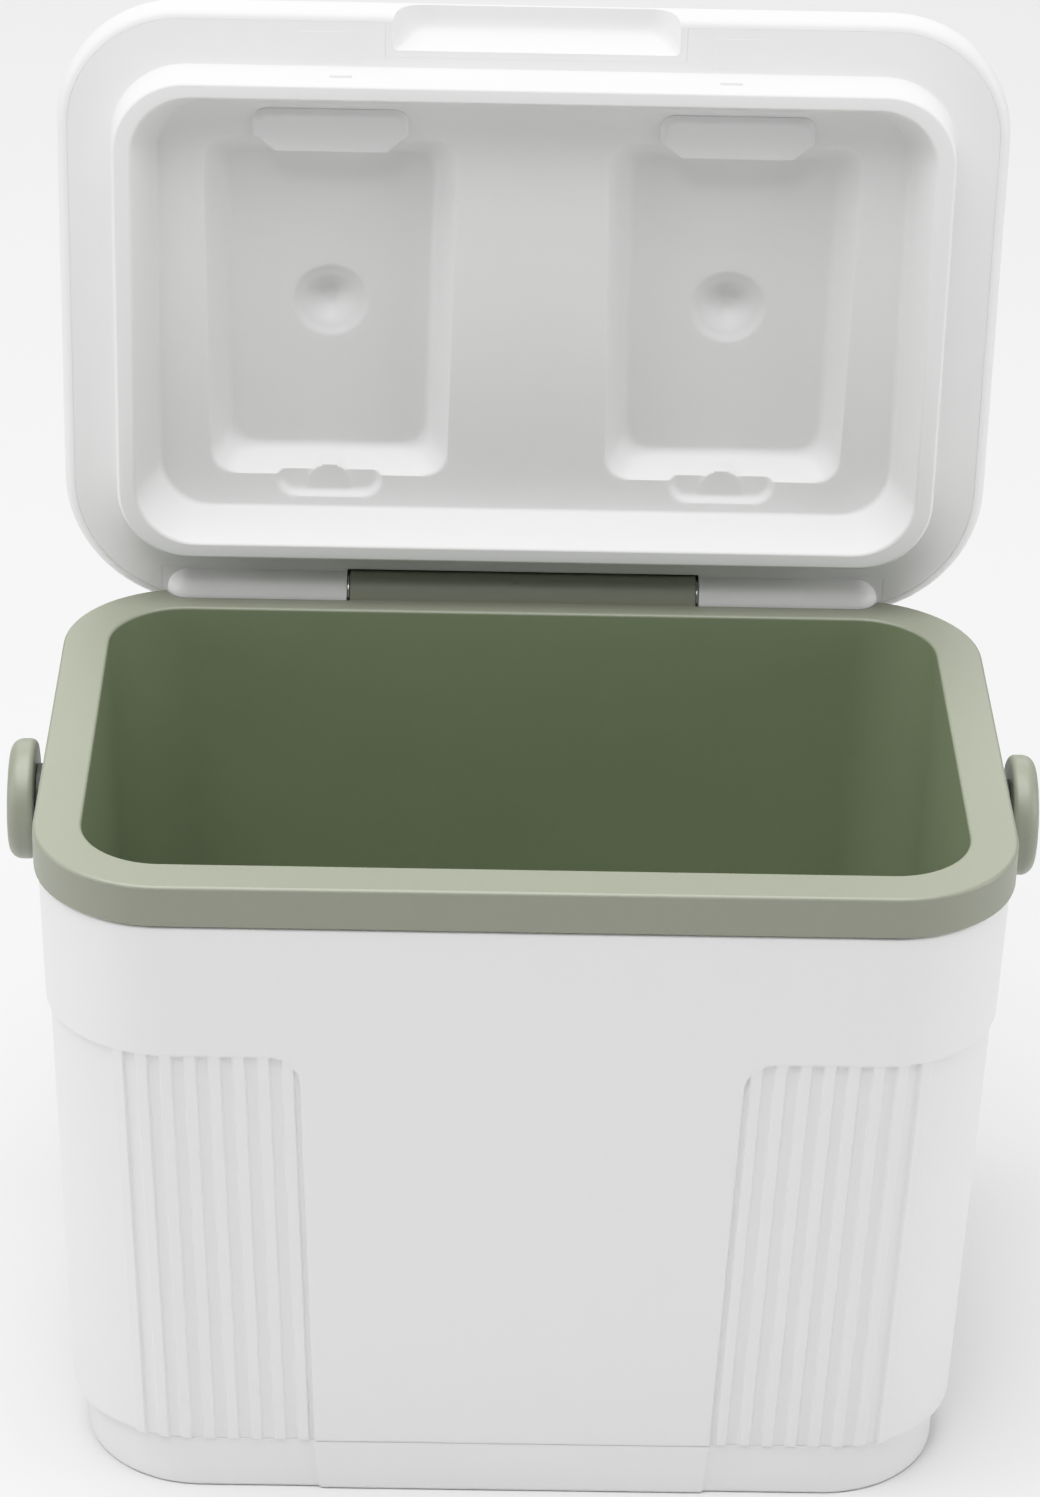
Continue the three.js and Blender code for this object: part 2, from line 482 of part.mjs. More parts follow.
// finger scoop and snap tongue at the hinge end of each pocket
const scoop = (s) => loft([
  [rrect(s * POCKET_C - 17, s * POCKET_C + 17, -56, -43.5, [5, 5, 1, 1], 3), LID_FACE + 4.2],
  [rrect(s * POCKET_C - 20.5, s * POCKET_C + 20.5, -56, -41, [7, 7, 1, 1], 3), LID_FACE - 1],
].reverse());
const scoopBack = (s) => loft([
  [rrect(s * POCKET_C - 22.5, s * POCKET_C + 22.5, -58, -38.8, [7, 7, 1, 1], 3), LID_FACE],
  [rrect(s * POCKET_C - 19, s * POCKET_C + 19, -58, -41.2, [5, 5, 1, 1], 3), LID_FACE + 6.6],
]);
const tongue = (s) => {
  const pts = [];
  for (let i = 0; i <= 8; i++) {
    const a = (Math.PI * i) / 8;
    pts.push(V2(s * POCKET_C + 7.6 * Math.cos(a), -47.5 - 7.4 * Math.sin(a)));
  }
  pts.push(V2(s * POCKET_C - 7.6, -44), V2(s * POCKET_C + 7.6, -44));
  return loft([[pts.slice().reverse(), LID_FACE + 0.2], [pts.slice().reverse(), LID_FACE + 6.0]]);
};
const nub = (s) => box(s * 73.7 - 4.2, s * 73.7 + 4.2, -PLUG_V1 - 0.7, -PLUG_V1 + 1, -10.5, -7.6);
let panel = S(loft([[lidRing(LID_SEAM, 0)[0], LID_FACE], [lidRing(LID_SEAM, 0)[0], LID_FACE + PT]]));
panel = cut(panel, rimNotch(GAP));
panel = join(panel, cut(ridge, box(-200, 200, -260, 0, LID_FACE + 0.6, 10)));
panel = cut(panel, dish, cut(ridgeInside, dishBack));
for (const s of [-1, 1]) panel = join(panel, tray(s), scoopBack(s), dimple(s, PT));
for (const s of [-1, 1]) panel = cut(panel, pocket(s), scoop(s), dimple(s, 0));
for (const s of [-1, 1]) panel = join(panel, tongue(s), tab(s), nub(s));

// Lid foam: fills the cover above the panel, relieved over the pockets.
let lidFoam = cut(
  loft([
    lidRing(4.4, LID_FACE + PT + GAP), lidRing(4.4, 9), lidRing(5, 11.3), lidRing(6.6, 13.2), lidRing(9.6, 14.8),
    lidRing(13.6, 15.7), lidRing(36, 18.0), lidRing(68, 19.6), lidRing(98, 20.1),
  ]),
  box(-KNUCKLE_X1 - 4, KNUCKLE_X1 + 4, -HINGE_R - 4.2, 20, -1, 12.5),
  box(-PULL_X - 3.6, PULL_X + 3.6, -LID_FRONT - 5, -PULL_V + 3.8, -1, PULL_DEPTH + 3.6));
for (const s of [-1, 1]) {
  lidFoam = cut(lidFoam,
    loft([pocketRing(s, -PT - 0.6, LID_FACE), pocketRing(s, 3.5 - PT - 0.6, 7.5), pocketRing(s, 9 - PT - 0.6, POCKET_DEPTH + PT + 0.5)]),
    loft([[rrect(s * POCKET_C - 23.2, s * POCKET_C + 23.2, -60, -38.2, 2, 2), 0], [rrect(s * POCKET_C - 23.2, s * POCKET_C + 23.2, -60, -38.2, 2, 2), 7.6]]),
    cylZ(16.0, 10, POCKET_DEPTH + 8.0, s * POCKET_C, -121, 16));
}

// ---------------------------------------------------------------------- handle
// Bail frame: y runs along the arms from the pivot to the grip, z across them.
function bail() {
  const o = HUB_X1;
  const i = HUB_X0;
  const L = BAIL_L;
  const h = BAIL_T / 2;
  const s = new THREE.Shape();
  s.moveTo(o, -2);
  s.lineTo(o, L + h - 30);
  s.absarc(o - 30, L + h - 30, 30, 0, Math.PI / 2, false);
  s.lineTo(-o + 30, L + h);
  s.absarc(-o + 30, L + h - 30, 30, Math.PI / 2, Math.PI, false);
  s.lineTo(-o, -2);
  s.lineTo(-i, -2);
  s.lineTo(-i, L - h - 18);
  s.absarc(-i + 18, L - h - 18, 18, Math.PI, Math.PI / 2, true);
  s.lineTo(i - 18, L - h);
  s.absarc(i - 18, L - h - 18, 18, Math.PI / 2, 0, true);
  s.lineTo(i, -2);
  s.closePath();
  const g = new THREE.ExtrudeGeometry(s, { depth: BAIL_W, bevelEnabled: false, curveSegments: 6 });
  g.translate(0, 0, -BAIL_W / 2);
  // soften the four long edges of the grip and arms
  let m = S(g);
  const hub = turnX([[0, HUB_X0], [HUB_R - 0.6, HUB_X0], [HUB_R, HUB_X0 + 0.6], [HUB_R, HUB_X0 + 5.2], [HUB_R - 0.8, HUB_X0 + 7.6], [HUB_R - 2.4, HUB_X0 + 9.3], [HUB_R - 4.6, HUB_X1], [0, HUB_X1]], 32);
  m = join(m, hub, flipX(S(hub)));
  const bore = join(cylX(PIVOT_R + 0.4, 183, 191.4, 0, 0, 20), cylX(9.2, 191.2, 194.0, 0, 0, 20), cylX(11.6, 193.9, 197, 0, 0, 24));
  m = cut(m, bore, flipX(S(bore)));
  // chamfer the grip's edges
  for (const sy of [-1, 1]) {
    for (const sz of [-1, 1]) {
      const c = new THREE.BoxGeometry(2 * (HUB_X1 - 32), 4.2, 4.2).rotateX(Math.PI / 4).translate(0, BAIL_L + (sy * BAIL_T) / 2, (sz * BAIL_W) / 2);
      m = cut(m, c);
    }
  }
  return m;
}

// -------------------------------------------------------------------- assembly
const cooler = new THREE.Group();

cooler.add(
  mesh('outer_shell', shell, WHITE()),
  mesh('inner_liner', liner, GREEN()),
  mesh('body_insulation', foam, FOAM()),
  mesh('foam_fill_plug', fillPlug, WHITE()),
  mesh('hinge_pin_left', pinAt(-1), STEEL()),
  mesh('hinge_pin_right', pinAt(1), STEEL()),
);

const pivots = new THREE.Group();
pivots.position.set(0, 0, PIVOT_Z);
pivots.add(
  mesh('pivot_stud_right', stud(), GREEN()),
  mesh('pivot_stud_left', flipX(stud()), GREEN()),
  mesh('pivot_spacer_right', spacer(), GREEN()),
  mesh('pivot_spacer_left', flipX(spacer()), GREEN()),
  mesh('handle_screw_right', screw(), STEEL()),
  mesh('handle_screw_left', flipX(screw()), STEEL()),
  mesh('handle_washer_right', washer(), STEEL()),
  mesh('handle_washer_left', flipX(washer()), STEEL()),
);
cooler.add(pivots);

const lid = new THREE.Group();
lid.position.set(0, HINGE_Y, HINGE_Z);
lid.rotation.x = -THREE.MathUtils.degToRad(LID_OPEN_DEG);
lid.add(
  mesh('lid_cover', cover, WHITE()),
  mesh('lid_inner_panel', panel, WHITE()),
  mesh('lid_insulation', lidFoam, FOAM()),
);
cooler.add(lid);

const handle = new THREE.Group();
handle.position.set(0, 0, PIVOT_Z);
handle.rotation.x = -THREE.MathUtils.degToRad(BAIL_REST_DEG);
handle.add(
  mesh('handle_bail', bail(), GREEN()),
  mesh('handle_cap_right', cap(), GREEN()),
  mesh('handle_cap_left', flipX(solid(cap())), GREEN()),
);
cooler.add(handle);

export default cooler;
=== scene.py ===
import bpy, bmesh, math
import numpy as np
from mathutils import Matrix, Vector


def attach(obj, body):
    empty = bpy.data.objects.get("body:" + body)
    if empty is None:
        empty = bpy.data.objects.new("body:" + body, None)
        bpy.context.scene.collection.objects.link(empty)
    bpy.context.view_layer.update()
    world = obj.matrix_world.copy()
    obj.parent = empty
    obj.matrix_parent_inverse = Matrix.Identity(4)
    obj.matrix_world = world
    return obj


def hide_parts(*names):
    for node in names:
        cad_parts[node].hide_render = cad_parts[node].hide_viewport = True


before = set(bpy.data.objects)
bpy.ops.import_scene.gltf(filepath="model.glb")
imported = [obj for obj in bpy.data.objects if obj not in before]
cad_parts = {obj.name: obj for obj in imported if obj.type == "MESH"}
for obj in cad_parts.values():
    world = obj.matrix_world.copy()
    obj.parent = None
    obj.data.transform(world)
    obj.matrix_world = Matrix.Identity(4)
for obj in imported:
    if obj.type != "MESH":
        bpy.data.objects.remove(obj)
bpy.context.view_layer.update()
scene = bpy.context.scene

# ------------------------------------------------------------------ constants
MM = 0.001
RIM_Z = 267.8
HINGE_Y, HINGE_Z = 120.0, 267.8
PIVOT_Z = 236.7
BAIL_REST = math.radians(-28.9)


def smooth(a, b, x):
    t = np.clip((np.asarray(x, float) - a) / (b - a), 0, 1)
    return t * t * (3 - 2 * t)


def smin(a, b, k):
    h = np.clip(0.5 + 0.5 * (b - a) / k, 0, 1)
    return b * (1 - h) + a * h - k * h * (1 - h)


def smax(a, b, k):
    return -smin(-a, -b, k)


# --------------------------------------------------------------- mesh helpers
def obj_from(name, verts, faces, scale=MM):
    me = bpy.data.meshes.new(name)
    v = np.asarray(verts, float) * scale
    me.from_pydata([tuple(p) for p in v], [], [tuple(f) for f in faces])
    me.validate()
    o = bpy.data.objects.new(name, me)
    scene.collection.objects.link(o)
    return o


def outward(o, invert=False):
    bm = bmesh.new()
    bm.from_mesh(o.data)
    bmesh.ops.remove_doubles(bm, verts=bm.verts, dist=2e-6)
    bmesh.ops.recalc_face_normals(bm, faces=bm.faces)
    if bm.calc_volume(signed=True) < 0:
        bmesh.ops.reverse_faces(bm, faces=bm.faces)
    bm.to_mesh(o.data)
    bm.free()
    return o


def bake(o):
    """Applies the modifiers."""
    dg = bpy.context.evaluated_depsgraph_get()
    dg.update()
    me = bpy.data.meshes.new_from_object(o.evaluated_get(dg))
    old = o.data
    o.modifiers.clear()
    o.data = me
    bpy.data.meshes.remove(old)
    return o


def boolean(o, others, op):
    for c in others:
        m = o.modifiers.new("b", "BOOLEAN")
        m.operation = op
        m.solver = "EXACT"
        m.object = c
        bake(o)
        bpy.data.objects.remove(c, do_unlink=True)
    return o


def shade(o, angle=32, weighted=True):
    me = o.data
    me.polygons.foreach_set("use_smooth", [True] * len(me.polygons))
    me.set_sharp_from_angle(angle=math.radians(angle))
    if weighted:
        w = o.modifiers.new("wn", "WEIGHTED_NORMAL")
        w.keep_sharp = True
        w.weight = 80
        w.mode = "FACE_AREA"
        bake(o)
    return o


def bevel(o, width=0.5, seg=2, angle=40):
    m = o.modifiers.new("bv", "BEVEL")
    m.width = width * MM
    m.segments = seg
    m.limit_method = "ANGLE"
    m.angle_limit = math.radians(angle)
    m.harden_normals = False
    m.use_clamp_overlap = True
    return bake(o)


def join(name, objs):
    bm = bmesh.new()
    for o in objs:
        t = bpy.data.meshes.new("t")
        bm2 = bmesh.new()
        bm2.from_mesh(o.data)
        bm2.transform(o.matrix_world)
        bm2.to_mesh(t)
        bm2.free()
        bm.from_mesh(t)
        bpy.data.meshes.remove(t)
    me = bpy.data.meshes.new(name)
    bm.to_mesh(me)
    bm.free()
    for o in objs:
        bpy.data.objects.remove(o, do_unlink=True)
    o = bpy.data.objects.new(name, me)
    scene.collection.objects.link(o)
    return o


def loft_faces(n, k, close_u=True, off=0):
    f = []
    for j in range(k - 1):
        for i in range(n if close_u else n - 1):
            a = off + j * n + i
            b = off + j * n + (i + 1) % n
            f.append((a, b, b + n, a + n))
    return f


def loft(name, rings, caps=(True, True)):
    """Closed solid or open sheet through rings of 3-D points (mm)."""
    n = len(rings[0])
    v = np.concatenate([np.asarray(r, float) for r in rings])
    f = loft_faces(n, len(rings))
    if caps[0]:
        f.append(tuple(range(n))[::-1])
    if caps[1]:
        f.append(tuple(range((len(rings) - 1) * n, len(rings) * n)))
    o = obj_from(name, v, f)
    if all(caps):
        outward(o)
    return o


# Rounded rectangle in plan: corner arcs of nc steps, straights of nx and ny steps.
def rrect(x0, x1, y0, y1, r, nc=12, nx=6, ny=4):
    rr = list(r) if isinstance(r, (list, tuple)) else [r] * 4  # ++ -+ -- +-
    cs = [(x1 - rr[0], y1 - rr[0], 0, rr[0]), (x0 + rr[1], y1 - rr[1], 90, rr[1]),
          (x0 + rr[2], y0 + rr[2], 180, rr[2]), (x1 - rr[3], y0 + rr[3], 270, rr[3])]
    arcs = []
    for cx, cy, a0, rad in cs:
        a = np.radians(a0 + np.linspace(0, 90, nc + 1))
        arcs.append(np.stack([cx + rad * np.cos(a), cy + rad * np.sin(a)], 1))
    out = []
    for k in range(4):
        out.append(arcs[k])
        p, q = arcs[k][-1], arcs[(k + 1) % 4][0]
        m = nx if k in (0, 2) else ny
        t = np.linspace(0, 1, m + 1)[1:-1, None]
        out.append(p + (q - p) * t)
    return np.concatenate(out)


def rr(hx, hy, r, **k):
    return rrect(-hx, hx, -hy, hy, r, **k)


def at_z(p, z):
    return np.column_stack([p, np.full(len(p), z)])


def fillet(p0, p1, p2, r, n=5):
    """Arc of radius r in the corner p0-p1-p2 of a 2-D profile."""
    p0, p1, p2 = (np.asarray(p, float) for p in (p0, p1, p2))
    a, b = p0 - p1, p2 - p1
    la, lb = np.linalg.norm(a), np.linalg.norm(b)
    a, b = a / la, b / lb
    ang = math.acos(np.clip(a @ b, -1, 1))
    d = min(r / math.tan(ang / 2), 0.49 * la, 0.49 * lb)
    r = d * math.tan(ang / 2)
    c = p1 + (a + b) / np.linalg.norm(a + b) * r / math.sin(ang / 2)
    s, e = p1 + a * d - c, p1 + b * d - c
    w = math.acos(np.clip(s @ e / (np.linalg.norm(s) * np.linalg.norm(e)), -1, 1))
    return [c + (math.sin((1 - t) * w) * s + math.sin(t * w) * e) / math.sin(w) for t in np.linspace(0, 1, n + 1)]


def profile(pts):
    """2-D profile from [(a, b, radius, steps)...], corners rounded."""
    out = []
    for i, p in enumerate(pts):
        if i in (0, len(pts) - 1) or len(p) < 3 or not p[2]:
            out.append(np.array(p[:2], float))
        else:
            out += fillet(pts[i - 1][:2], p[:2], pts[i + 1][:2], p[2], p[3] if len(p) > 3 else 4)
    return out


def lathe_x(name, prof, seg=96, y=0.0, z=0.0, side=1):
    """Turned closed solid about an X axis through (y, z); prof is [(r, x)...] from axis to axis."""
    v, f = [], []
    n = seg
    rows = []
    for r, x in prof:
        if r < 1e-6:
            rows.append([len(v)])
            v.append((side * x, y, z))
        else:
            rows.append(list(range(len(v), len(v) + n)))
            for i in range(n):
                a = 2 * math.pi * i / n
                v.append((side * x, y + r * math.cos(a), z + r * math.sin(a)))
    for a, b in zip(rows, rows[1:]):
        if len(a) == 1 and len(b) == 1:
            continue
        for i in range(n):
            j = (i + 1) % n
            if len(a) == 1:
                f.append((a[0], b[j], b[i]))
            elif len(b) == 1:
                f.append((a[i], a[j], b[0]))
            else:
                f.append((a[i], a[j], b[j], b[i]))
    return outward(obj_from(name, v, f))


def box(name, x0, x1, y0, y1, z0, z1):
    v = [(x, y, z) for z in (z0, z1) for y in (y0, y1) for x in (x0, x1)]
    f = [(0, 2, 3, 1), (4, 5, 7, 6), (0, 1, 5, 4), (2, 6, 7, 3), (0, 4, 6, 2), (1, 3, 7, 5)]
    return outward(obj_from(name, v, f))


def prism_x(name, pts, x0, x1):
    """Outline in (y, z) swept along X."""
    n = len(pts)
    v = [(x0, p[0], p[1]) for p in pts] + [(x1, p[0], p[1]) for p in pts]
    f = [(i, (i + 1) % n, n + (i + 1) % n, n + i) for i in range(n)]
    f += [tuple(range(n)), tuple(range(2 * n - 1, n - 1, -1))]
    return outward(obj_from(name, v, f))


# ------------------------------------------------------------------ materials
def plastic(name, color, rough=0.42, var=0.02, bump=0.05, grain=1900.0, spec=0.5, mottled=0.015, wear=0.25, wear_color=None, sss=0.0, inner=None):
    """Moulded plastic: fine moulded grain, faint flow mottling, scuffs and rubbed edges; optionally a painted shade
    inside the liner's cavity.
    """
    m = bpy.data.materials.new(name)
    m.use_nodes = True
    nt = m.node_tree
    nt.nodes.clear()
    N, L = nt.nodes.new, nt.links.new
    out = N("ShaderNodeOutputMaterial")
    bs = N("ShaderNodeBsdfPrincipled")
    L(bs.outputs[0], out.inputs[0])
    bs.inputs["Specular IOR Level"].default_value = spec
    bs.inputs["IOR"].default_value = 1.49
    if sss:
        bs.inputs["Subsurface Weight"].default_value = sss
        bs.inputs["Subsurface Radius"].default_value = (0.004, 0.0035, 0.003)
        bs.inputs["Subsurface Scale"].default_value = 1.0
    tc = N("ShaderNodeTexCoord")
    # flow mottling
    n1 = N("ShaderNodeTexNoise")
    n1.inputs["Scale"].default_value = 22.0
    n1.inputs["Detail"].default_value = 5.0
    n1.inputs["Roughness"].default_value = 0.55
    L(tc.outputs["Object"], n1.inputs["Vector"])
    # scuffs: stretched fine noise, thresholded
    mp = N("ShaderNodeMapping")
    mp.inputs["Scale"].default_value = (90.0, 90.0, 620.0)
    mp.inputs["Rotation"].default_value = (0.5, 0.35, 0.2)
    L(tc.outputs["Object"], mp.inputs["Vector"])
    n2 = N("ShaderNodeTexNoise")
    n2.inputs["Scale"].default_value = 1.0
    n2.inputs["Detail"].default_value = 3.0
    L(mp.outputs[0], n2.inputs["Vector"])
    r2 = N("ShaderNodeMapRange")
    r2.inputs["From Min"].default_value = 0.66
    r2.inputs["From Max"].default_value = 0.78
    L(n2.outputs["Fac"], r2.inputs["Value"])
    patch = N("ShaderNodeTexNoise")
    patch.inputs["Scale"].default_value = 9.0
    patch.inputs["Detail"].default_value = 2.0
    L(tc.outputs["Object"], patch.inputs["Vector"])
    pr = N("ShaderNodeMapRange")
    pr.inputs["From Min"].default_value = 0.48
    pr.inputs["From Max"].default_value = 0.68
    L(patch.outputs["Fac"], pr.inputs["Value"])
    sc = N("ShaderNodeMath")
    sc.operation = "MULTIPLY"
    L(r2.outputs[0], sc.inputs[0])
    L(pr.outputs[0], sc.inputs[1])
    # moulded grain
    gr = N("ShaderNodeTexNoise")
    gr.inputs["Scale"].default_value = grain
    gr.inputs["Detail"].default_value = 2.0
    L(tc.outputs["Object"], gr.inputs["Vector"])
    # edges rubbed slightly shinier and lighter
    geo = N("ShaderNodeNewGeometry")
    pt = N("ShaderNodeMapRange")
    pt.inputs["From Min"].default_value = 0.53
    pt.inputs["From Max"].default_value = 0.62
    L(geo.outputs["Pointiness"], pt.inputs["Value"])
    # colour
    c = Vector(color)
    lo = [max(0, x * (1 - var)) for x in color]
    hi = [min(1, x * (1 + var)) for x in color]
    mix = N("ShaderNodeMix")
    mix.data_type = "RGBA"
    mix.inputs["A"].default_value = (*lo, 1)
    mix.inputs["B"].default_value = (*hi, 1)
    L(n1.outputs["Fac"], mix.inputs["Factor"])
    wc = wear_color or [min(1, x * 1.05 + 0.01) for x in color]
    mix2 = N("ShaderNodeMix")
    mix2.data_type = "RGBA"
    mix2.inputs["B"].default_value = (*wc, 1)
    wm = N("ShaderNodeMath")
    wm.operation = "MULTIPLY"
    wm.inputs[1].default_value = wear
    L(pt.outputs[0], wm.inputs[0])
    L(wm.outputs[0], mix2.inputs["Factor"])
    L(mix.outputs["Result"], mix2.inputs["A"])
    mix3 = N("ShaderNodeMix")
    mix3.data_type = "RGBA"
    mix3.inputs["B"].default_value = (*[x * 0.9 for x in color], 1)
    sm = N("ShaderNodeMath")
    sm.operation = "MULTIPLY"
    sm.inputs[1].default_value = 0.16
    L(sc.outputs[0], sm.inputs[0])
    L(sm.outputs[0], mix3.inputs["Factor"])
    L(mix2.outputs["Result"], mix3.inputs["A"])
    if inner:
        # painted shade: inside the liner's cavity the colour is multiplied darker and greener, standing in for the
        # shade and green bounce light there
        sx = N("ShaderNodeSeparateXYZ")
        L(tc.outputs["Object"], sx.inputs[0])

        def math_node(op, a, b=None):
            q = N("ShaderNodeMath")
            q.operation = op
            for k, v in enumerate((a, b)):
                if isinstance(v, (int, float)):
                    q.inputs[k].default_value = v
                elif v is not None:
                    L(v, q.inputs[k])
            return q.outputs[0]

        ax = math_node("SUBTRACT", math_node("ABSOLUTE", sx.outputs[0]), 0.1628)
        ay = math_node("SUBTRACT", math_node("ABSOLUTE", sx.outputs[1]), 0.1030)
        az = math_node("SUBTRACT", sx.outputs[2], 0.2670)
        dd = math_node("MAXIMUM", math_node("MAXIMUM", ax, ay), az)
        cavity_shade_mask = N("ShaderNodeMapRange")
        cavity_shade_mask.inputs["From Min"].default_value = 0.0006
        cavity_shade_mask.inputs["From Max"].default_value = -0.0006
        L(dd, cavity_shade_mask.inputs["Value"])
        cavity_shade_mix = N("ShaderNodeMix")
        cavity_shade_mix.data_type = "RGBA"
        cavity_shade_mix.blend_type = "MULTIPLY"
        cavity_shade_mix.inputs["B"].default_value = (*inner, 1)
        L(cavity_shade_mask.outputs[0], cavity_shade_mix.inputs["Factor"])
        L(mix3.outputs["Result"], cavity_shade_mix.inputs["A"])
        L(cavity_shade_mix.outputs["Result"], bs.inputs["Base Color"])
    else:
        L(mix3.outputs["Result"], bs.inputs["Base Color"])
    # roughness
    ra = N("ShaderNodeMapRange")
    ra.inputs["To Min"].default_value = rough - 0.05
    ra.inputs["To Max"].default_value = rough + 0.06
    L(n1.outputs["Fac"], ra.inputs["Value"])
    rb = N("ShaderNodeMath")
    rb.operation = "MULTIPLY_ADD"
    rb.inputs[1].default_value = 0.10
    L(sc.outputs[0], rb.inputs[0])
    L(ra.outputs[0], rb.inputs[2])
    rc = N("ShaderNodeMath")
    rc.operation = "MULTIPLY_ADD"
    rc.inputs[1].default_value = -0.06
    L(wm.outputs[0], rc.inputs[0])
    L(rb.outputs[0], rc.inputs[2])
    L(rc.outputs[0], bs.inputs["Roughness"])
    # bump: grain, with a very gentle moulding waviness
    b1 = N("ShaderNodeBump")
    b1.inputs["Strength"].default_value = bump
    b1.inputs["Distance"].default_value = 0.0004
    L(gr.outputs["Fac"], b1.inputs["Height"])
    b2 = N("ShaderNodeBump")
    b2.inputs["Strength"].default_value = mottled
    b2.inputs["Distance"].default_value = 0.004
    L(n1.outputs["Fac"], b2.inputs["Height"])
    L(b1.outputs[0], b2.inputs["Normal"])
    L(b2.outputs[0], bs.inputs["Normal"])
    return m


def steel(name):
    m = bpy.data.materials.new(name)
    m.use_nodes = True
    nt = m.node_tree
    bs = nt.nodes["Principled BSDF"]
    N, L = nt.nodes.new, nt.links.new
    bs.inputs["Metallic"].default_value = 1.0
    tc = N("ShaderNodeTexCoord")
    mp = N("ShaderNodeMapping")
    mp.inputs["Scale"].default_value = (60.0, 2500.0, 2500.0)
    L(tc.outputs["Object"], mp.inputs["Vector"])
    n = N("ShaderNodeTexNoise")
    n.inputs["Scale"].default_value = 1.0
    n.inputs["Detail"].default_value = 3.0
    L(mp.outputs[0], n.inputs["Vector"])
    r = N("ShaderNodeMapRange")
    r.inputs["To Min"].default_value = 0.18
    r.inputs["To Max"].default_value = 0.36
    L(n.outputs["Fac"], r.inputs["Value"])
    L(r.outputs[0], bs.inputs["Roughness"])
    cr = N("ShaderNodeMix")
    cr.data_type = "RGBA"
    cr.inputs["A"].default_value = (0.52, 0.52, 0.53, 1)
    cr.inputs["B"].default_value = (0.70, 0.70, 0.71, 1)
    L(n.outputs["Fac"], cr.inputs["Factor"])
    L(cr.outputs["Result"], bs.inputs["Base Color"])
    b = N("ShaderNodeBump")
    b.inputs["Strength"].default_value = 0.15
    b.inputs["Distance"].default_value = 0.0002
    L(n.outputs["Fac"], b.inputs["Height"])
    L(b.outputs[0], bs.inputs["Normal"])
    return m


def foam_mat(name):
    m = bpy.data.materials.new(name)
    m.use_nodes = True
    nt = m.node_tree
    bs = nt.nodes["Principled BSDF"]
    N, L = nt.nodes.new, nt.links.new
    tc = N("ShaderNodeTexCoord")
    v = N("ShaderNodeTexVoronoi")
    v.inputs["Scale"].default_value = 700.0
    L(tc.outputs["Object"], v.inputs["Vector"])
    c = N("ShaderNodeMix")
    c.data_type = "RGBA"
    c.inputs["A"].default_value = (0.80, 0.70, 0.46, 1)
    c.inputs["B"].default_value = (0.90, 0.84, 0.66, 1)
    L(v.outputs["Distance"], c.inputs["Factor"])
    L(c.outputs["Result"], bs.inputs["Base Color"])
    bs.inputs["Roughness"].default_value = 0.9
    b = N("ShaderNodeBump")
    b.inputs["Strength"].default_value = 0.5
    b.inputs["Distance"].default_value = 0.0005
    L(v.outputs["Distance"], b.inputs["Height"])
    L(b.outputs[0], bs.inputs["Normal"])
    return m


WHITE_BODY = plastic("white_body_plastic", (0.755, 0.755, 0.757), rough=0.46, var=0.008, bump=0.10, grain=1500)
WHITE_LID = plastic("white_lid_plastic", (0.765, 0.765, 0.765), rough=0.42, var=0.008, bump=0.08, grain=1700)
# green liner: the inner factor is painted shade, multiplying the cavity walls darker and greener
GREEN = plastic("green_liner_plastic", (0.218, 0.231, 0.175), rough=0.48, var=0.03, bump=0.12, grain=1400, spec=0.75, wear=0.35, inner=(0.80, 0.94, 0.72))
GREEN_H = plastic("green_handle_plastic", (0.215, 0.229, 0.176), rough=0.40, var=0.03, bump=0.06, grain=1600, wear=0.35)
# near-black spacer colour is painted shade for the shadowed gap between the handle hub and the collar
SPACER_PAINTED_SHADE = plastic("spacer_painted_shade_plastic", (0.050, 0.054, 0.042), rough=0.50, var=0.03, bump=0.06, grain=1600)
STEEL = steel("pin_steel")
FOAM = foam_mat("foam_core")


def finish_piece(o, mat, body, slot, *nodes):
    o.data.materials.clear()
    o.data.materials.append(mat)
    for p in o.data.polygons:
        p.material_index = 0
    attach(o, body)
    if nodes:
        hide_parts(*nodes)
    return o


# ================================================================ outer shell
def top_x(z):
    return 171.3 + 7.1 * z / 251


def top_y(z):
    return 115.3 + 4.1 * z / 251


COLLAR_R = 48.0
PROUD = 1.6
BAND = 196.0
RIB_N, RIB_PITCH, RIB_FIRST, RIB_SHIFT = 8, 8.9, 85.6, 6.1
PANEL_STEP = 23.0


def panel_edge(z):
    return np.interp(z, [0, 20, 180, 260], [73.2, 75.2, 80.9, 83.5])


def side_edge(z):
    return np.interp(z, [0, 196, 260], [44.0, 50.0, 51.0])


def rib_x(i, z):
    return RIB_FIRST + RIB_PITCH * i - RIB_SHIFT * (BAND - z) / (BAND - 23.0)


def quarter_samples(z):
    """Samples along a quarter outline from front centre to side centre: ('f', x), ('c', t) or ('s', y)."""
    z = min(max(z, 0), 251)
    xe = float(panel_edge(z))
    s = [("f", x) for x in (0, 22, 44, 62)]
    s += [("f", xe + d) for d in (-4.0, -1.6, -0.75, -0.35, 0.0, 0.35, 0.75, 1.25)]
    for i in range(RIB_N):
        c = rib_x(i, z)
        for d in (-2.7, -2.4, -2.1, -1.7, 0, 1.7, 2.1, 2.4, 2.7, 4.45):
            s.append(("f", c + d))
    s += [("c", t) for t in np.linspace(0, 1, 11)[1:]]
    e = float(side_edge(z))
    s += [("s", e + d) for d in (4.0, 1.6, 0.75, 0.35, 0.0, -0.35, -0.75, -1.6, -4.0)]
    s += [("s", y) for y in (30, 15)]
    s.append(("s", 0.0))
    return s


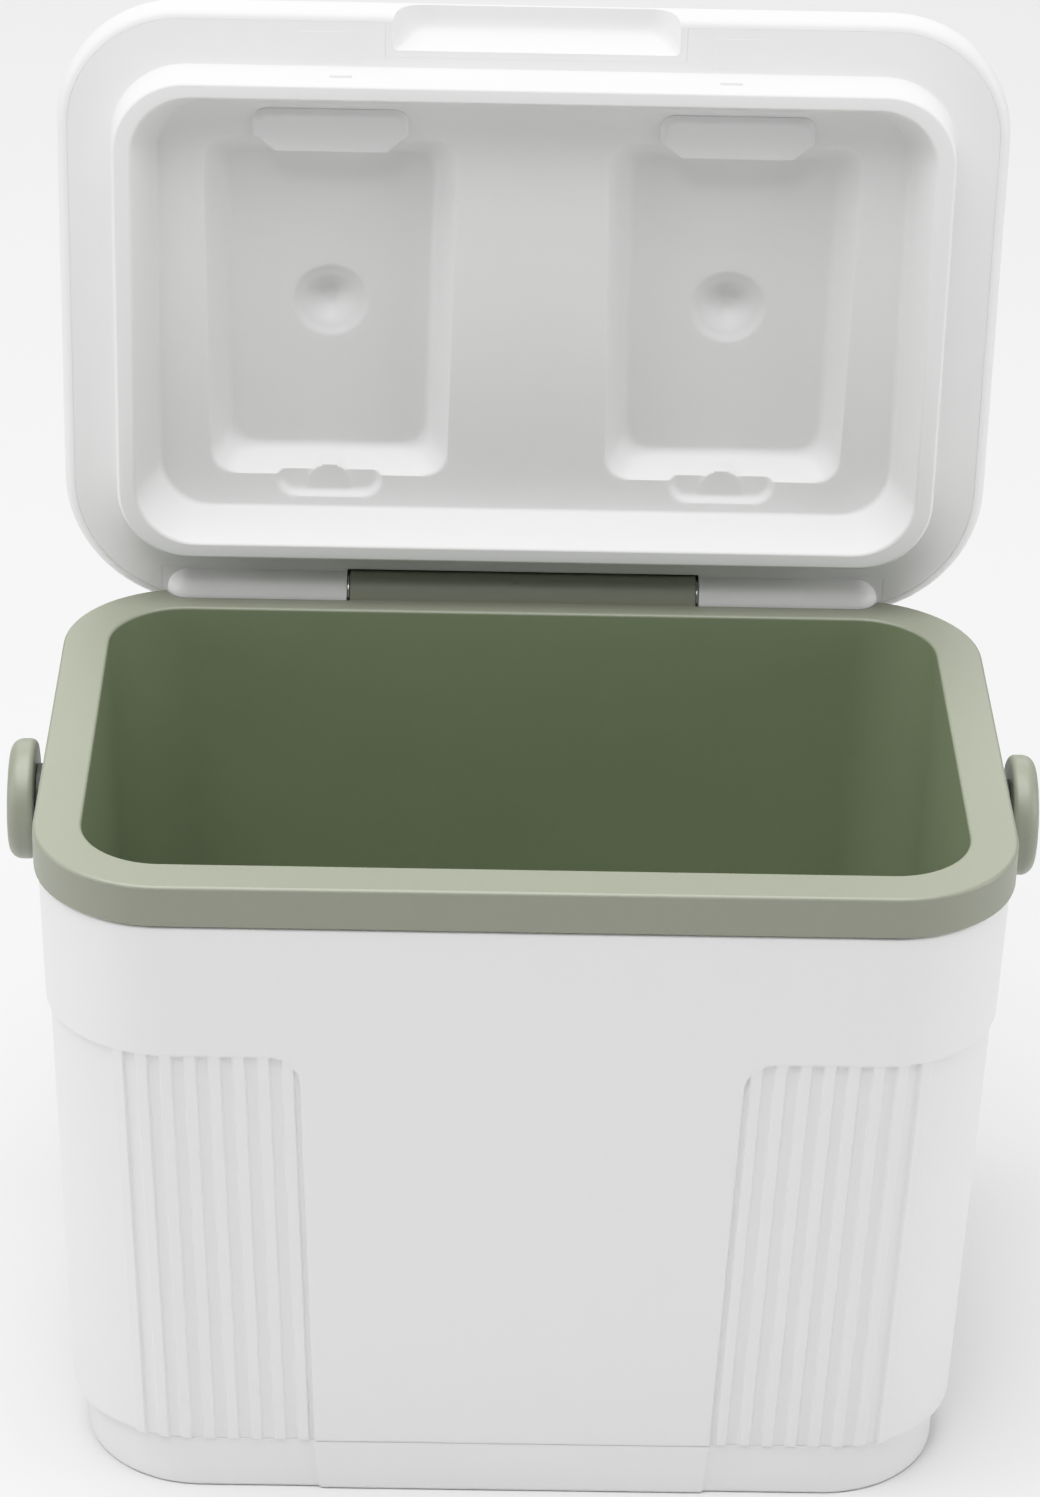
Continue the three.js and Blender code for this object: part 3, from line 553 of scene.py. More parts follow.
def place(samples, hx, hy, R):
    """(x, |y| front) positions and outward normals of the samples on a rounded rectangle; first quadrant (x>0, y<0)."""
    P, Nn = [], []
    last = [v for k, v in samples if k == "f"][-1]
    cx, cy = hx - R, hy - R
    a_last = math.asin(min(max((last - cx) / R, 0), 1)) if last > cx else 0.0
    for k, v in samples:
        if k == "f":
            if v <= cx:
                P.append((v, -hy)); Nn.append((0, -1))
            else:
                a = math.asin(min((v - cx) / R, 1))
                P.append((cx + R * math.sin(a), -cy - R * math.cos(a))); Nn.append((math.sin(a), -math.cos(a)))
        elif k == "c":
            a = a_last + (math.pi / 2 - a_last) * v
            P.append((cx + R * math.sin(a), -cy - R * math.cos(a))); Nn.append((math.sin(a), -math.cos(a)))
        else:
            P.append((hx, -v)); Nn.append((1, 0))
    return np.array(P), np.array(Nn)


def rdist(dx, dz, rho):
    """Distance inside a quadrant dx>0, dz>0 with a rounded corner."""
    inner = rho - np.hypot(np.maximum(rho - dx, 0), np.maximum(rho - dz, 0))
    return np.where((dx < rho) & (dz < rho), inner, np.minimum(dx, dz))


def shell_ring(z, ref=None, shrink=0.0, level=None, plain=False):
    """One outline of the shell at height z. ref: height whose sample positions are used."""
    zr = z if ref is None else ref
    smp = quarter_samples(zr)
    hx, hy, R = top_x(z), top_y(z), COLLAR_R
    if level:
        hx, hy, R = level
    P, Nn = place(smp, hx, hy, R)
    off = np.zeros(len(P))
    kinds = np.array([k for k, _ in smp])
    vals = np.array([v for _, v in smp])
    if not plain:
        x = P[:, 0]
        df = rdist(x - panel_edge(z), BAND - z, 11.5)
        ds = rdist(np.abs(P[:, 1]) - side_edge(z), BAND - z, 11.5)
        d = np.where(kinds == "f", df, np.where(kinds == "s", ds, np.minimum(df, ds)))
        d = np.minimum(d, 50)
        m = smooth(-0.65, 0.65, d)
        off -= PROUD * m
        r = np.zeros(len(P))
        for i in range(RIB_N):
            r = np.maximum(r, 1 - smooth(1.75, 2.6, np.abs(np.where(kinds == "f", x, 1e3) - rib_x(i, z))))
        off += 1.3 * r * m
    P = P + Nn * (off - shrink)[:, None]
    return mirror4(P, z)


def base_ring(z, shrink=0.0, ref=None):
    smp = quarter_samples(z if ref is None else ref)
    hx, hy, R = 164.5 + 0.6 * z / 23, 114.15, 46.0
    P, Nn = place(smp, hx, hy, R)
    kinds = np.array([k for k, _ in smp])
    m = np.where(kinds == "f", 1 - smooth(-0.5, 0.5, P[:, 0] - panel_edge(z)), 0)
    P = P + Nn * (1.15 * m - shrink)[:, None]
    return mirror4(P, z)


def mirror4(P, z):
    """Quarter (x>=0, y<=0) from front centre to right side centre -> whole ring, counter-clockwise from above."""
    q1 = P
    q2 = P[::-1][1:] * [1, -1]
    q3 = P[1:] * [-1, -1]
    q4 = P[::-1][1:-1] * [-1, 1]
    return at_z(np.concatenate([q1, q2, q3, q4]), z)


def build_shell():
    rings = []
    # underside: from a small ring in the middle out to the edge
    for k in (0.0, 0.55, 0.9):
        b = base_ring(0.0, 1.7)
        b[:, :2] *= max(k, 0.02)
        rings.append(b)
    for z, s in ((0.0, 1.7), (0.12, 1.05), (0.5, 0.5), (1.1, 0.14), (1.9, 0.0), (8, 0), (16, 0), (21.6, 0)):
        rings.append(base_ring(z, s))
    rings.append(base_ring(22.3, 0.15))
    rings.append(base_ring(22.55, 0.55))
    # step out to the body with a small rounded lower edge
    body = shell_ring(23.2)
    base = base_ring(22.55, 0.55)
    gap = np.linalg.norm(body[:, :2] - base[:, :2], axis=1)
    rnd = np.minimum(1.3, 0.35 + 0.25 * gap)
    for z, s in ((22.6, 1.0), (22.75, 0.55), (23.2, 0.2), (24.0, 0.0)):
        b = shell_ring(z)
        c = shell_ring(z, shrink=1.0)
        rings.append(np.column_stack([b[:, :2] + (c[:, :2] - b[:, :2]) * (s * rnd)[:, None], b[:, 2]]))
    for z in (26, 34, 50, 70, 90, 110, 130, 150, 168, 180, 183, 184.5, 185.7, 187, 188.3, 189.5, 190.6, 191.6, 192.6, 193.4, 194.1,
              194.7, 195.2, 195.6, 196.0, 196.4, 196.8, 197.4, 200, 210, 225, 240, 247, 249.6):
        rings.append(shell_ring(z))
    for z, s in ((250.2, 0.12), (250.55, 0.4), (250.75, 0.8), (250.85, 1.15)):
        rings.append(shell_ring(z, shrink=s))
    rings.append(shell_ring(250.9, level=(177.2, 117.2, 45.2), plain=True))
    rings.append(shell_ring(263.4, level=(177.2, 117.2, 45.2), plain=True))
    rings.append(shell_ring(264.0, level=(176.6, 116.6, 44.6), plain=True))
    rings.append(shell_ring(264.0, level=(175.0, 115.0, 43.0), plain=True))
    rings.append(shell_ring(263.4, level=(174.6, 114.6, 42.6), plain=True))
    rings.append(shell_ring(246.0, level=(174.3, 114.3, 42.3), plain=True))
    rings.append(shell_ring(30.0, level=(168.2, 111.2, 43.0), plain=True))
    rings.append(shell_ring(26.0, level=(162.0, 111.0, 43.0), plain=True))
    rings.append(shell_ring(2.6, level=(161.8, 110.9, 43.0), plain=True))
    b = rings[-1].copy()
    b[:, :2] *= 0.02
    rings.append(b)
    o = loft("shell_moulding", rings)
    # the lip is left out along the hinge; pivot holes; underside filling hole
    cut = [box("c", -146.5, 146.5, 100, 125, 250.93, 270)]
    for s in (-1, 1):
        cut.append(lathe_x("c", [(0, 165), (7.6, 165), (7.6, 190), (0, 190)], 48, 0, PIVOT_Z, s))
    boolean(o, cut, "DIFFERENCE")
    hole = loft("c", [at_z(np.array([(8.2 * math.cos(a), 62 + 8.2 * math.sin(a)) for a in np.linspace(0, 2 * math.pi, 49)[:-1]]), z) for z in (-2, 5)])
    boolean(o, [hole], "DIFFERENCE")
    shade(o, 30)
    return finish_piece(o, WHITE_BODY, "box", "white_shell", "outer_shell")


# ================================================================ inner liner
def build_liner():
    T = 2.2
    k = dict(nc=16, nx=10, ny=6)

    def ring(hx, hy, r, z):
        return at_z(rr(hx, hy, max(r, 0.5), **k), z)

    rings = []
    # inside: floor, floor fillet, drafted wall, mouth edge
    for f in (0.02, 0.5):
        b = ring(149.6, 89.8, 22, 24.0)
        b[:, :2] *= f
        rings.append(b)
    for t in np.linspace(0, 1, 7):
        a = t * math.pi / 2
        d = 8.0 * (1 - math.sin(a))
        rings.append(ring(155.7 - d, 95.9 - d, 28 - d * 0.7, 24.0 + 8.0 * (1 - math.cos(a))))
    for z in (60, 110, 160, 210, 245, 262):
        q = (z - 32) / (266.6 - 32)
        rings.append(ring(155.7 + 6.5 * q, 95.9 + 6.5 * q, 28 + 2 * q, z))
    for t in np.linspace(0, 1, 5):
        a = t * math.pi / 2
        d = 1.15 * (1 - math.cos(a))
        rings.append(ring(162.2 + d, 102.4 + d, 30 + d, 266.65 + 1.15 * math.sin(a)))
    # rim and outer edge
    rings.append(ring(170.5, 110.7, 38.5, RIM_Z))
    for t in np.linspace(0, 1, 6):
        a = t * math.pi / 2
        d = 1.5 * (1 - math.sin(a))
        rings.append(ring(180 - d, 120 - d, 48 - d, RIM_Z - 1.5 * (1 - math.cos(a))))
    rings.append(ring(180, 120, 48, 258))
    for t in np.linspace(0, 1, 4):
        a = t * math.pi / 2
        d = 0.8 * (1 - math.cos(a))
        rings.append(ring(180 - d, 120 - d, 48 - d, 252.2 - 0.8 * math.sin(a)))
    rings.append(ring(177.9, 117.9, 45.9, 251.4))
    rings.append(ring(177.7, 117.7, 45.7, 251.9))
    rings.append(ring(177.7, 117.7, 45.7, 265.0))
    rings.append(ring(162.1 + T + 0.6, 102.3 + T + 0.6, 32.5, 265.0))
    rings.append(ring(162.1 + T, 102.3 + T, 32.2, 263.5))
    rings.append(ring(155.7 + T, 95.9 + T, 30, 32))
    rings.append(ring(152, 92, 26, 22.6))
    rings.append(ring(149, 89, 23, 21.8))
    b = ring(149, 89, 23, 21.8)
    b[:, :2] *= 0.02
    rings.append(b)
    o = loft("liner_moulding", rings)
    # hinge pockets with floors
    for s in (-1, 1):
        a, b_ = sorted((s * 68.2, s * 144.0))
        boolean(o, [box("c", a, b_, 108.8, 119.0, 256.4, 266.5)], "UNION")
    for s in (-1, 1):
        t = np.linspace(0, math.pi / 2, 14)
        prof = [(0, 69.0), (9.0, 69.0)] + [(9.0 * math.cos(q), 133 + 9.6 * math.sin(q)) for q in t[:-1]] + [(0, 142.6)]
        boolean(o, [lathe_x("c", prof, 64, HINGE_Y, HINGE_Z, s)], "DIFFERENCE")
        a, b_ = sorted((s * 69.0, s * 142.6))
        boolean(o, [box("c", a, b_, 118.7, 135.0, 256.0, 272)], "DIFFERENCE")
    # hinge block
    pts = [(HINGE_Y + 8.5 * math.cos(a), HINGE_Z + 8.5 * math.sin(a)) for a in np.linspace(math.pi, 0, 25)]
    pts += [(HINGE_Y + 8.5, HINGE_Z - 7), (HINGE_Y + 7.6, HINGE_Z - 9.2), (HINGE_Y + 0.3, 252.6), (HINGE_Y - 0.8, 252.0), (HINGE_Y - 8.5, 258)]
    blk = prism_x("b", pts, -69.0, 69.0)
    for s in (-1, 1):
        boolean(blk, [lathe_x("c", [(0, 44.5), (2.4, 44.5), (2.4, 72), (0, 72)], 32, HINGE_Y, HINGE_Z, s)], "DIFFERENCE")
    bevel(blk, 0.45, 2, 50)
    a = math.radians(62)
    c = Vector((-2.5, HINGE_Y - 8.5 * math.cos(a), HINGE_Z + 8.5 * math.sin(a))) * MM
    mk = lathe_x("c", [(0, -0.22), (1.7, -0.22), (1.9, 1.0), (0, 1.0)], 32)
    mk.data.transform(Matrix.Translation(c) @ Vector((0, -math.cos(a), math.sin(a))).to_track_quat("X", "Z").to_matrix().to_4x4())
    boolean(blk, [mk], "DIFFERENCE")
    boolean(o, [blk], "UNION")
    shade(o, 30)
    return finish_piece(o, GREEN, "box", "green_liner", "inner_liner")


# ======================================================================== lid
LX, LF, LB, LRF, LRB = 182.3, 243.0, 8.5, 48.0, 55.0


def lid_pts(p, n):
    """Lid plan (x, v) at height n -> box frame with the lid open."""
    return np.column_stack([p[:, 0], np.full(len(p), HINGE_Y) + n, HINGE_Z + p[:, 1]])


def lid_plan(d, **k):
    r = [max(LRF - d, 2), max(LRF - d, 2), max(LRB - d, 2), max(LRB - d, 2)]
    return rrect(-LX + d, LX - d, -LB + d, LF - d, r, **k)


LK = dict(nc=18, nx=22, ny=10)


def lid_ring(d, n):
    return lid_pts(lid_plan(d, **LK), n)


def build_cover():
    rings = []
    # underside edge at the seam, rounded skirt, crown
    rings.append(lid_ring(4.12, 0.5))
    for t in np.linspace(0, 1, 7)[1:]:
        a = t * math.pi / 2
        rings.append(lid_ring(4.12 * (1 - math.sin(a)), 0.5 + 5.2 * (1 - math.cos(a))))
    rings.append(lid_ring(0, 9.0))
    for t in np.linspace(0, 1, 9)[1:]:
        a = t * math.pi / 2
        rings.append(lid_ring(10.5 * (1 - math.cos(a)) ** 1.0, 9.0 + 9.3 * math.sin(a) ** 1.0))
    for d, n in ((20, 19.4), (34, 20.7), (50, 21.8), (66, 22.45), (82, 22.8), (98, 23.0)):
        rings.append(lid_ring(d, n))
    # inner side
    for d, n in ((98, 20.6), (66, 20.0), (34, 18.2), (13, 15.9), (7.5, 13.8), (5.2, 11), (4.2, 8), (4.2, 0.5)):
        rings.append(lid_ring(d, n))
    n = len(rings[0])
    v = np.concatenate(rings)
    f = loft_faces(n, len(rings))
    # crown and inner caps: the last outer ring and the first inner ring
    k_out = 1 + 6 + 1 + 8 + 6 - 1
    f = [q for q in f if not (q[0] // n == k_out)]
    f.append(tuple(range(k_out * n, (k_out + 1) * n)))
    f.append(tuple(range((k_out + 1) * n, (k_out + 2) * n))[::-1])
    # close the seam lip: last ring to the first
    last = (len(rings) - 1) * n
    for i in range(n):
        j = (i + 1) % n
        f.append((last + i, last + j, j, i))
    return outward(obj_from("lid_cover_moulding", v, f))


def lid_solid(n0, n1, grow=0.0):
    """Solid of the lid's outside from the seam up over the rounded skirt (the heights n0 and n1 are not used), for
    adding material inside the cover.
    """
    prof = [(4.12, 0.5)] + [(4.12 * (1 - math.sin(t)), 0.5 + 5.2 * (1 - math.cos(t))) for t in np.linspace(0, math.pi / 2, 7)[1:]]
    prof += [(0, 9.0)] + [(10.5 * (1 - math.cos(t)), 9.0 + 9.3 * math.sin(t)) for t in np.linspace(0, math.pi / 2, 9)[1:]]
    return loft("s", [lid_ring(d + 0.02, n) for d, n in prof])


def cyl_lid(name, r, x0, x1, v=0.0, n=0.0, seg=64, edge=0.0):
    a, b = sorted((x0, x1))
    if edge:
        prof = [(0, a), (r - edge, a)] + [(r - edge + edge * math.sin(t), a + edge * (1 - math.cos(t))) for t in np.linspace(0, math.pi / 2, 4)[1:]]
        prof += [(r - edge + edge * math.cos(t), b - edge + edge * math.sin(t)) for t in np.linspace(0, math.pi / 2, 4)] + [(0, b)]
    else:
        prof = [(0, a), (r, a), (r, b), (0, b)]
    return lathe_x(name, prof, seg, HINGE_Y + n, HINGE_Z + v)


def box_lid(name, x0, x1, v0, v1, n0, n1):
    return box(name, x0, x1, HINGE_Y + n0, HINGE_Y + n1, HINGE_Z + v0, HINGE_Z + v1)


def build_lid_cover():
    o = build_cover()
    # material behind the finger pull and along the hinge
    for (x0, x1, v0, v1, n0, n1) in ((-57, 57, 225, 250, -0.7, 12), (-144.2, 144.2, -12, 9.3, -0.7, 11.2)):
        b = box_lid("b", x0, x1, v0, v1, n0, n1)
        boolean(b, [lid_solid(0, 20)], "INTERSECT")
        boolean(o, [b], "UNION")
    for s in (-1, 1):
        t = np.linspace(0, math.pi / 2, 14)
        prof = profile([(0, 70.2), (8.5, 70.2, 0.6, 3), (8.5, 80)]) + [(8.5 * math.cos(q), 133 + 9 * math.sin(q)) for q in t[:-1]] + [(0, 142)]
        k = lathe_x("k", prof, 64, HINGE_Y, HINGE_Z, s)
        boolean(o, [k], "UNION")
    boolean(o, [cyl_lid("c", 9.3, -70.2, 70.2), box_lid("c", -70.2, 70.2, 0, 20, -12, 9.3), box_lid("c", -70.2, 70.2, -9.3, 20, -12, 0.5)], "DIFFERENCE")
    for s in (-1, 1):
        boolean(o, [cyl_lid("c", 2.4, s * 69, s * 138.5, seg=32)], "DIFFERENCE")
    # finger pull with rounded rim edge and rounded inner corners
    rings = []
    for t in np.linspace(0, 1, 5):
        a = t * math.pi / 2
        g = 0.5 * (1 - math.sin(a))
        rings.append((54 + g, 228 - g, 1.8, 0.5 + 0.5 * (1 - math.cos(a)) - 0.02))
    rings = [(56.5, 225.5, 3.0, -2.0), (54 + 0.54, 228 - 0.54, 1.9, 0.45)] + rings[1:]
    for hx, v0, r, n in ((53.2, 228.9, 3.0, 2.5), (51.6, 230.7, 3.6, 4.6), (50.0, 232.4, 4.4, 6.4), (48.6, 233.9, 5.2, 7.7), (46.9, 235.6, 5.2, 8.55), (45.0, 237.6, 5.2, 8.9), (43.5, 239.0, 5.0, 9.0)):
        rings.append((hx, v0, r, n))
    c = loft("c", [lid_pts(rrect(-hx, hx, v0, 262, [1, 1, r, r], nc=6, nx=8, ny=6), n) for hx, v0, r, n in rings])
    boolean(o, [c], "DIFFERENCE")
    shade(o, 30)
    return finish_piece(o, WHITE_LID, "lid", "white_lid", "lid_cover")


# --- inner panel -------------------------------------------------------------
POC_C, POC_V0, POC_V1 = 77.6, 51.0, 192.0


def pocket_half(v):
    return 46.2 + 2.5 * (np.clip(v, 0, 240) - POC_V0) / (POC_V1 - POC_V0)


def pocket_height(a, v):
    """Depth n over the lid floor: a is x from the pocket centre, v from the hinge."""
    w = pocket_half(v)
    # distance inside the outline, with the same soft corner all the way down
    d = smin(w - np.abs(a), (POC_V1 - POC_V0) / 2 - np.abs(v - (POC_V0 + POC_V1) / 2), 11.0)
    wall = 1.45 * d
    h = smin(wall, np.full_like(d, 10.5), 3.6)
    h = smax(h, np.zeros_like(d), 0.6)
    h = np.where(d < -1.2, 0, h)
    # dimple: shallow flare, then a round bowl
    rd = np.hypot(a, v - 121.0)
    h = h + 1.2 * smooth(15.2, 11.5, rd) + 5.0 * smooth(12.5, 1.5, rd)
    # finger scoop at the hinge end
    bw, bv0, bv1, br = 20.6, 41.2, 60.0, 7.5
    qx = np.abs(a) - (bw - br)
    qv = np.abs(v - (bv0 + bv1) / 2) - ((bv1 - bv0) / 2 - br)
    e = -(np.hypot(np.maximum(qx, 0), np.maximum(qv, 0)) + np.minimum(np.maximum(qx, qv), 0) - br)
    bowl = smin(1.0 * e, np.full_like(d, 2.1), 1.4)
    bowl = np.where(e > -0.8, smax(bowl, np.zeros_like(d), 0.6), 0)
    h = np.where(v < 56, np.maximum(h, bowl), h)
    # round tongue reaching over the pocket's wall
    g = smooth(9.3, 8.2, np.hypot(a, v - 46.6)) * (v > 46.6) + smooth(9.3, 8.2, np.abs(a)) * (v <= 46.6)
    h = h * (1 - g) + np.minimum(h, 1.75 - 0.05 * (v - 46.6)) * g
    return 0.5 + h


def lines(*spans):
    out = []
    for a, b, step in spans:
        m = max(1, int(round((b - a) / step)))
        out += list(np.linspace(a, b, m + 1)[:-1])
    out.append(spans[-1][1])
    return np.array(out)


def pocket_grid():
    v = lines((40.3, 62, 0.75), (62, 72, 1.2), (72, 105, 3.0), (105, 137, 0.8), (137, 176, 3.0), (176, 186, 1.2), (186, 195, 0.75), (195, 203, 2.0))
    a = lines((-1.05, -1.02, 0.03), (-1.02, -0.72, 0.0165), (-0.72, -0.47, 0.035), (-0.47, 0.47, 0.0185), (0.47, 0.72, 0.035), (0.72, 1.02, 0.0165), (1.02, 1.05, 0.03))
    return a, v


def notch(o, x, _, v, side):
    """Cuts the rim sheet at x and at v and drops what lies between the cut and the rim's middle."""
    bm = bmesh.new()
    bm.from_mesh(o.data)

    def rim():
        if side < 0:
            return [f for f in bm.faces if f.calc_center_median().z < (HINGE_Z + 19.3) * MM]
        return [f for f in bm.faces if f.calc_center_median().z > (HINGE_Z + 222.6) * MM]

    for co, no in (((x * MM, 0, 0), (1, 0, 0)), ((0, 0, (HINGE_Z + v) * MM), (0, 0, 1))):
        fs = rim()
        es = {e for f in fs for e in f.edges}
        vs = {q for f in fs for q in f.verts}
        bmesh.ops.bisect_plane(bm, geom=list(vs) + list(es) + fs, dist=1e-7, plane_co=co, plane_no=no)
    dead = []
    for f in rim():
        c = f.calc_center_median()
        cv = c.z / MM - HINGE_Z
        if abs(c.x) < abs(x) * MM and c.x * x >= 0 and (cv < v if side < 0 else cv > v):
            dead.append(f)
    bmesh.ops.delete(bm, geom=dead, context="FACES")
    bm.to_mesh(o.data)
    bm.free()


def build_lid_panel():
    K = dict(nc=16, nx=26, ny=16)

    def plug(hx, v0, v1, r, n):
        return lid_pts(rrect(-hx, hx, v0, v1, r, **K), n)

    verts, faces = [], []

    def add(arr):
        o = len(verts)
        verts.extend(map(tuple, arr))
        return o

    # plate edge to ridge to dish floor
    def plan(d, n):
        r = [max(LRF - d, 2)] * 2 + [max(LRB - d, 2)] * 2
        return lid_pts(rrect(-LX + d, LX - d, -LB + d, LF - d, r, **K), n)

    rings = [plan(4.18, 2.7), plan(4.18, 0.75), plan(4.3, 0.5), plug(163.0, 19.4, 222.4, 31, 0.5)]
    rings += [plug(161.4, 20.8, 221.0, 29.4, 0.1), plug(160.9, 21.2, 220.6, 29, -1.0)]
    rings += [plug(160.5, 21.5, 220.3, 28.7, -9.0), plug(160.1, 21.8, 220.0, 28.4, -16.6)]
    for t in np.linspace(0, 1, 5)[1:]:
        a = t * math.pi / 2
        d = 1.3 * (1 - math.cos(a))
        rings.append(plug(160.05 - d, 21.85 + d, 219.95 - d, 28.3 - d, -16.65 - 1.3 * math.sin(a)))
    # ridge face 7 mm wide, then a soft edge into the sloped dish wall
    rings.append(plug(156.6, 25.1, 216.7, 25.2, -17.98))
    n_face = profile([(156.6, -17.98), (153.0, -18.0, 1.6, 5), (144.2, 0.4, 4.6, 7), (141.6, 0.5)])
    for x, n in n_face[1:]:
        t = (156.6 - x)
        rings.append(plug(x, 25.1 + t * 0.93, 216.7 - t * 0.80, max(25.2 - t * 0.42, 3), n))
    m = len(rings[0])
    for r_ in rings:
        add(r_)
    faces += loft_faces(m, len(rings))
    inner = list(range((len(rings) - 1) * m, len(rings) * m))
    # pocket patches
    A, Vv = pocket_grid()
    holes = []
    for s in (-1, 1):
        W = pocket_half(Vv)[:, None]
        a = A[None, :] * W
        vv = np.repeat(Vv[:, None], len(A), 1)
        n = pocket_height(a, vv)
        x = s * POC_C + a
        off = add(np.column_stack([x.ravel(), HINGE_Y + n.ravel(), HINGE_Z + vv.ravel()]))
        na, nv = len(A), len(Vv)
        for j in range(nv - 1):
            for i in range(na - 1):
                q = off + j * na + i
                faces.append((q, q + 1, q + na + 1, q + na))
        b = [off + i for i in range(na)] + [off + j * na + na - 1 for j in range(1, nv)] + [off + (nv - 1) * na + i for i in range(na - 2, -1, -1)] + [off + j * na for j in range(nv - 2, 0, -1)]
        holes.append(b)
    # flat floor between the dish wall and the patches
    bm = bmesh.new()
    me = bpy.data.meshes.new("t")
    bv = {}
    edges = []
    for loop in [inner] + holes:
        for i in loop:
            bv[i] = bm.verts.new((verts[i][0], verts[i][2], 0))
        for i, j in zip(loop, loop[1:] + loop[:1]):
            edges.append(bm.edges.new((bv[i], bv[j])))
    res = bmesh.ops.triangle_fill(bm, use_beauty=True, use_dissolve=False, edges=edges)
    back = {v: k for k, v in bv.items()}
    tri = [tuple(back[v] for v in f.verts) for f in bm.faces]
    bm.free()
    faces += tri
    o = obj_from("lid_panel_moulding", verts, faces)
    bm = bmesh.new()
    bm.from_mesh(o.data)
    bmesh.ops.remove_doubles(bm, verts=bm.verts, dist=1e-6)
    bmesh.ops.recalc_face_normals(bm, faces=bm.faces)
    # the dish floor must face the front (-Y with the lid open)
    up = sum(f.normal.y * f.calc_area() for f in bm.faces)
    if up > 0:
        bmesh.ops.reverse_faces(bm, faces=bm.faces)
    bm.to_mesh(o.data)
    bm.free()
    # notches for the hinge blocks and the finger pull
    for s in (-1, 1):
        notch(o, s * 144.3, None, 9.36, -1)
        notch(o, s * 57.06, None, 224.94, 1)
    sol = o.modifiers.new("s", "SOLIDIFY")
    sol.thickness = 1.6 * MM
    sol.offset = -1.0
    sol.use_even_offset = False
    bake(o)
    shade(o, 28)
    parts = [o]
    for s in (-1, 1):
        c = s * POC_C
        # retaining tab: swells out of the dish floor and ends in a free edge over the pocket
        def tab_ring(d, n):
            p = [(29.6 - d, 203.8 - d), (-29.6 + d, 203.8 - d), (-29.6 + d, 193.6 - 0.35 * d), (-22.0 + 0.45 * d, 187.0 + 0.1 * d), (22.0 - 0.45 * d, 187.0 + 0.1 * d), (29.6 - d, 193.6 - 0.35 * d)]
            R = [7.5, 7.5, 2.5, 0.9, 0.9, 2.5]
            out = []
            for i in range(6):
                out += fillet(p[i - 1], p[i], p[(i + 1) % 6], R[i], 5)
            q = np.array(out)
            q[:, 0] += c
            return lid_pts(q, n)
        rs = [tab_ring(0, 2.8)] + [tab_ring(d, 0.54 - 2.0 * float(smooth(-1.3, 2.6, d))) for d in (0, 0.35, 0.7, 1.1, 1.5, 1.9, 2.3, 2.7, 3.4)]
        parts.append(shade(loft("t", rs), 50))
        # nub on the ridge's front wall
        x = s * 73.7
        t = loft("t", [lid_pts(rrect(x - hw, x + hw, 218.6, 221.6 - k, 0.3, nc=2, nx=2, ny=2), n) for hw, k, n in ((3.9, 0.9, -10.5), (4.2, 0.2, -10.3), (4.3, 0.0, -9.9), (4.3, 0.0, -8.1), (4.2, 0.15, -7.7), (3.9, 0.8, -7.5))])
        parts.append(shade(t, 30))
        x = s * 78.25
        rs = [lid_pts(rrect(x - 11.25 + d, x + 11.25 - d, 222.0 + d, 234.7 - d, 1.0, nc=3, nx=4, ny=3), n) for d, n in ((0, 0.9), (0, 0.46), (0.06, 0.40), (0.2, 0.385), (1.0, 0.385))]
        parts.append(shade(loft("t", rs), 30))
    o = join("lid_panel_moulding", parts)
    return finish_piece(o, WHITE_LID, "lid", "white_lid", "lid_inner_panel")


# ===================================================================== handle
def bail_pts(p):
    """Bail frame (x, radial, across) -> box frame at rest."""
    c, s = math.cos(BAIL_REST), math.sin(BAIL_REST)
    p = np.asarray(p, float)
    return np.column_stack([p[:, 0], p[:, 1] * c - p[:, 2] * s, PIVOT_Z + p[:, 1] * s + p[:, 2] * c])


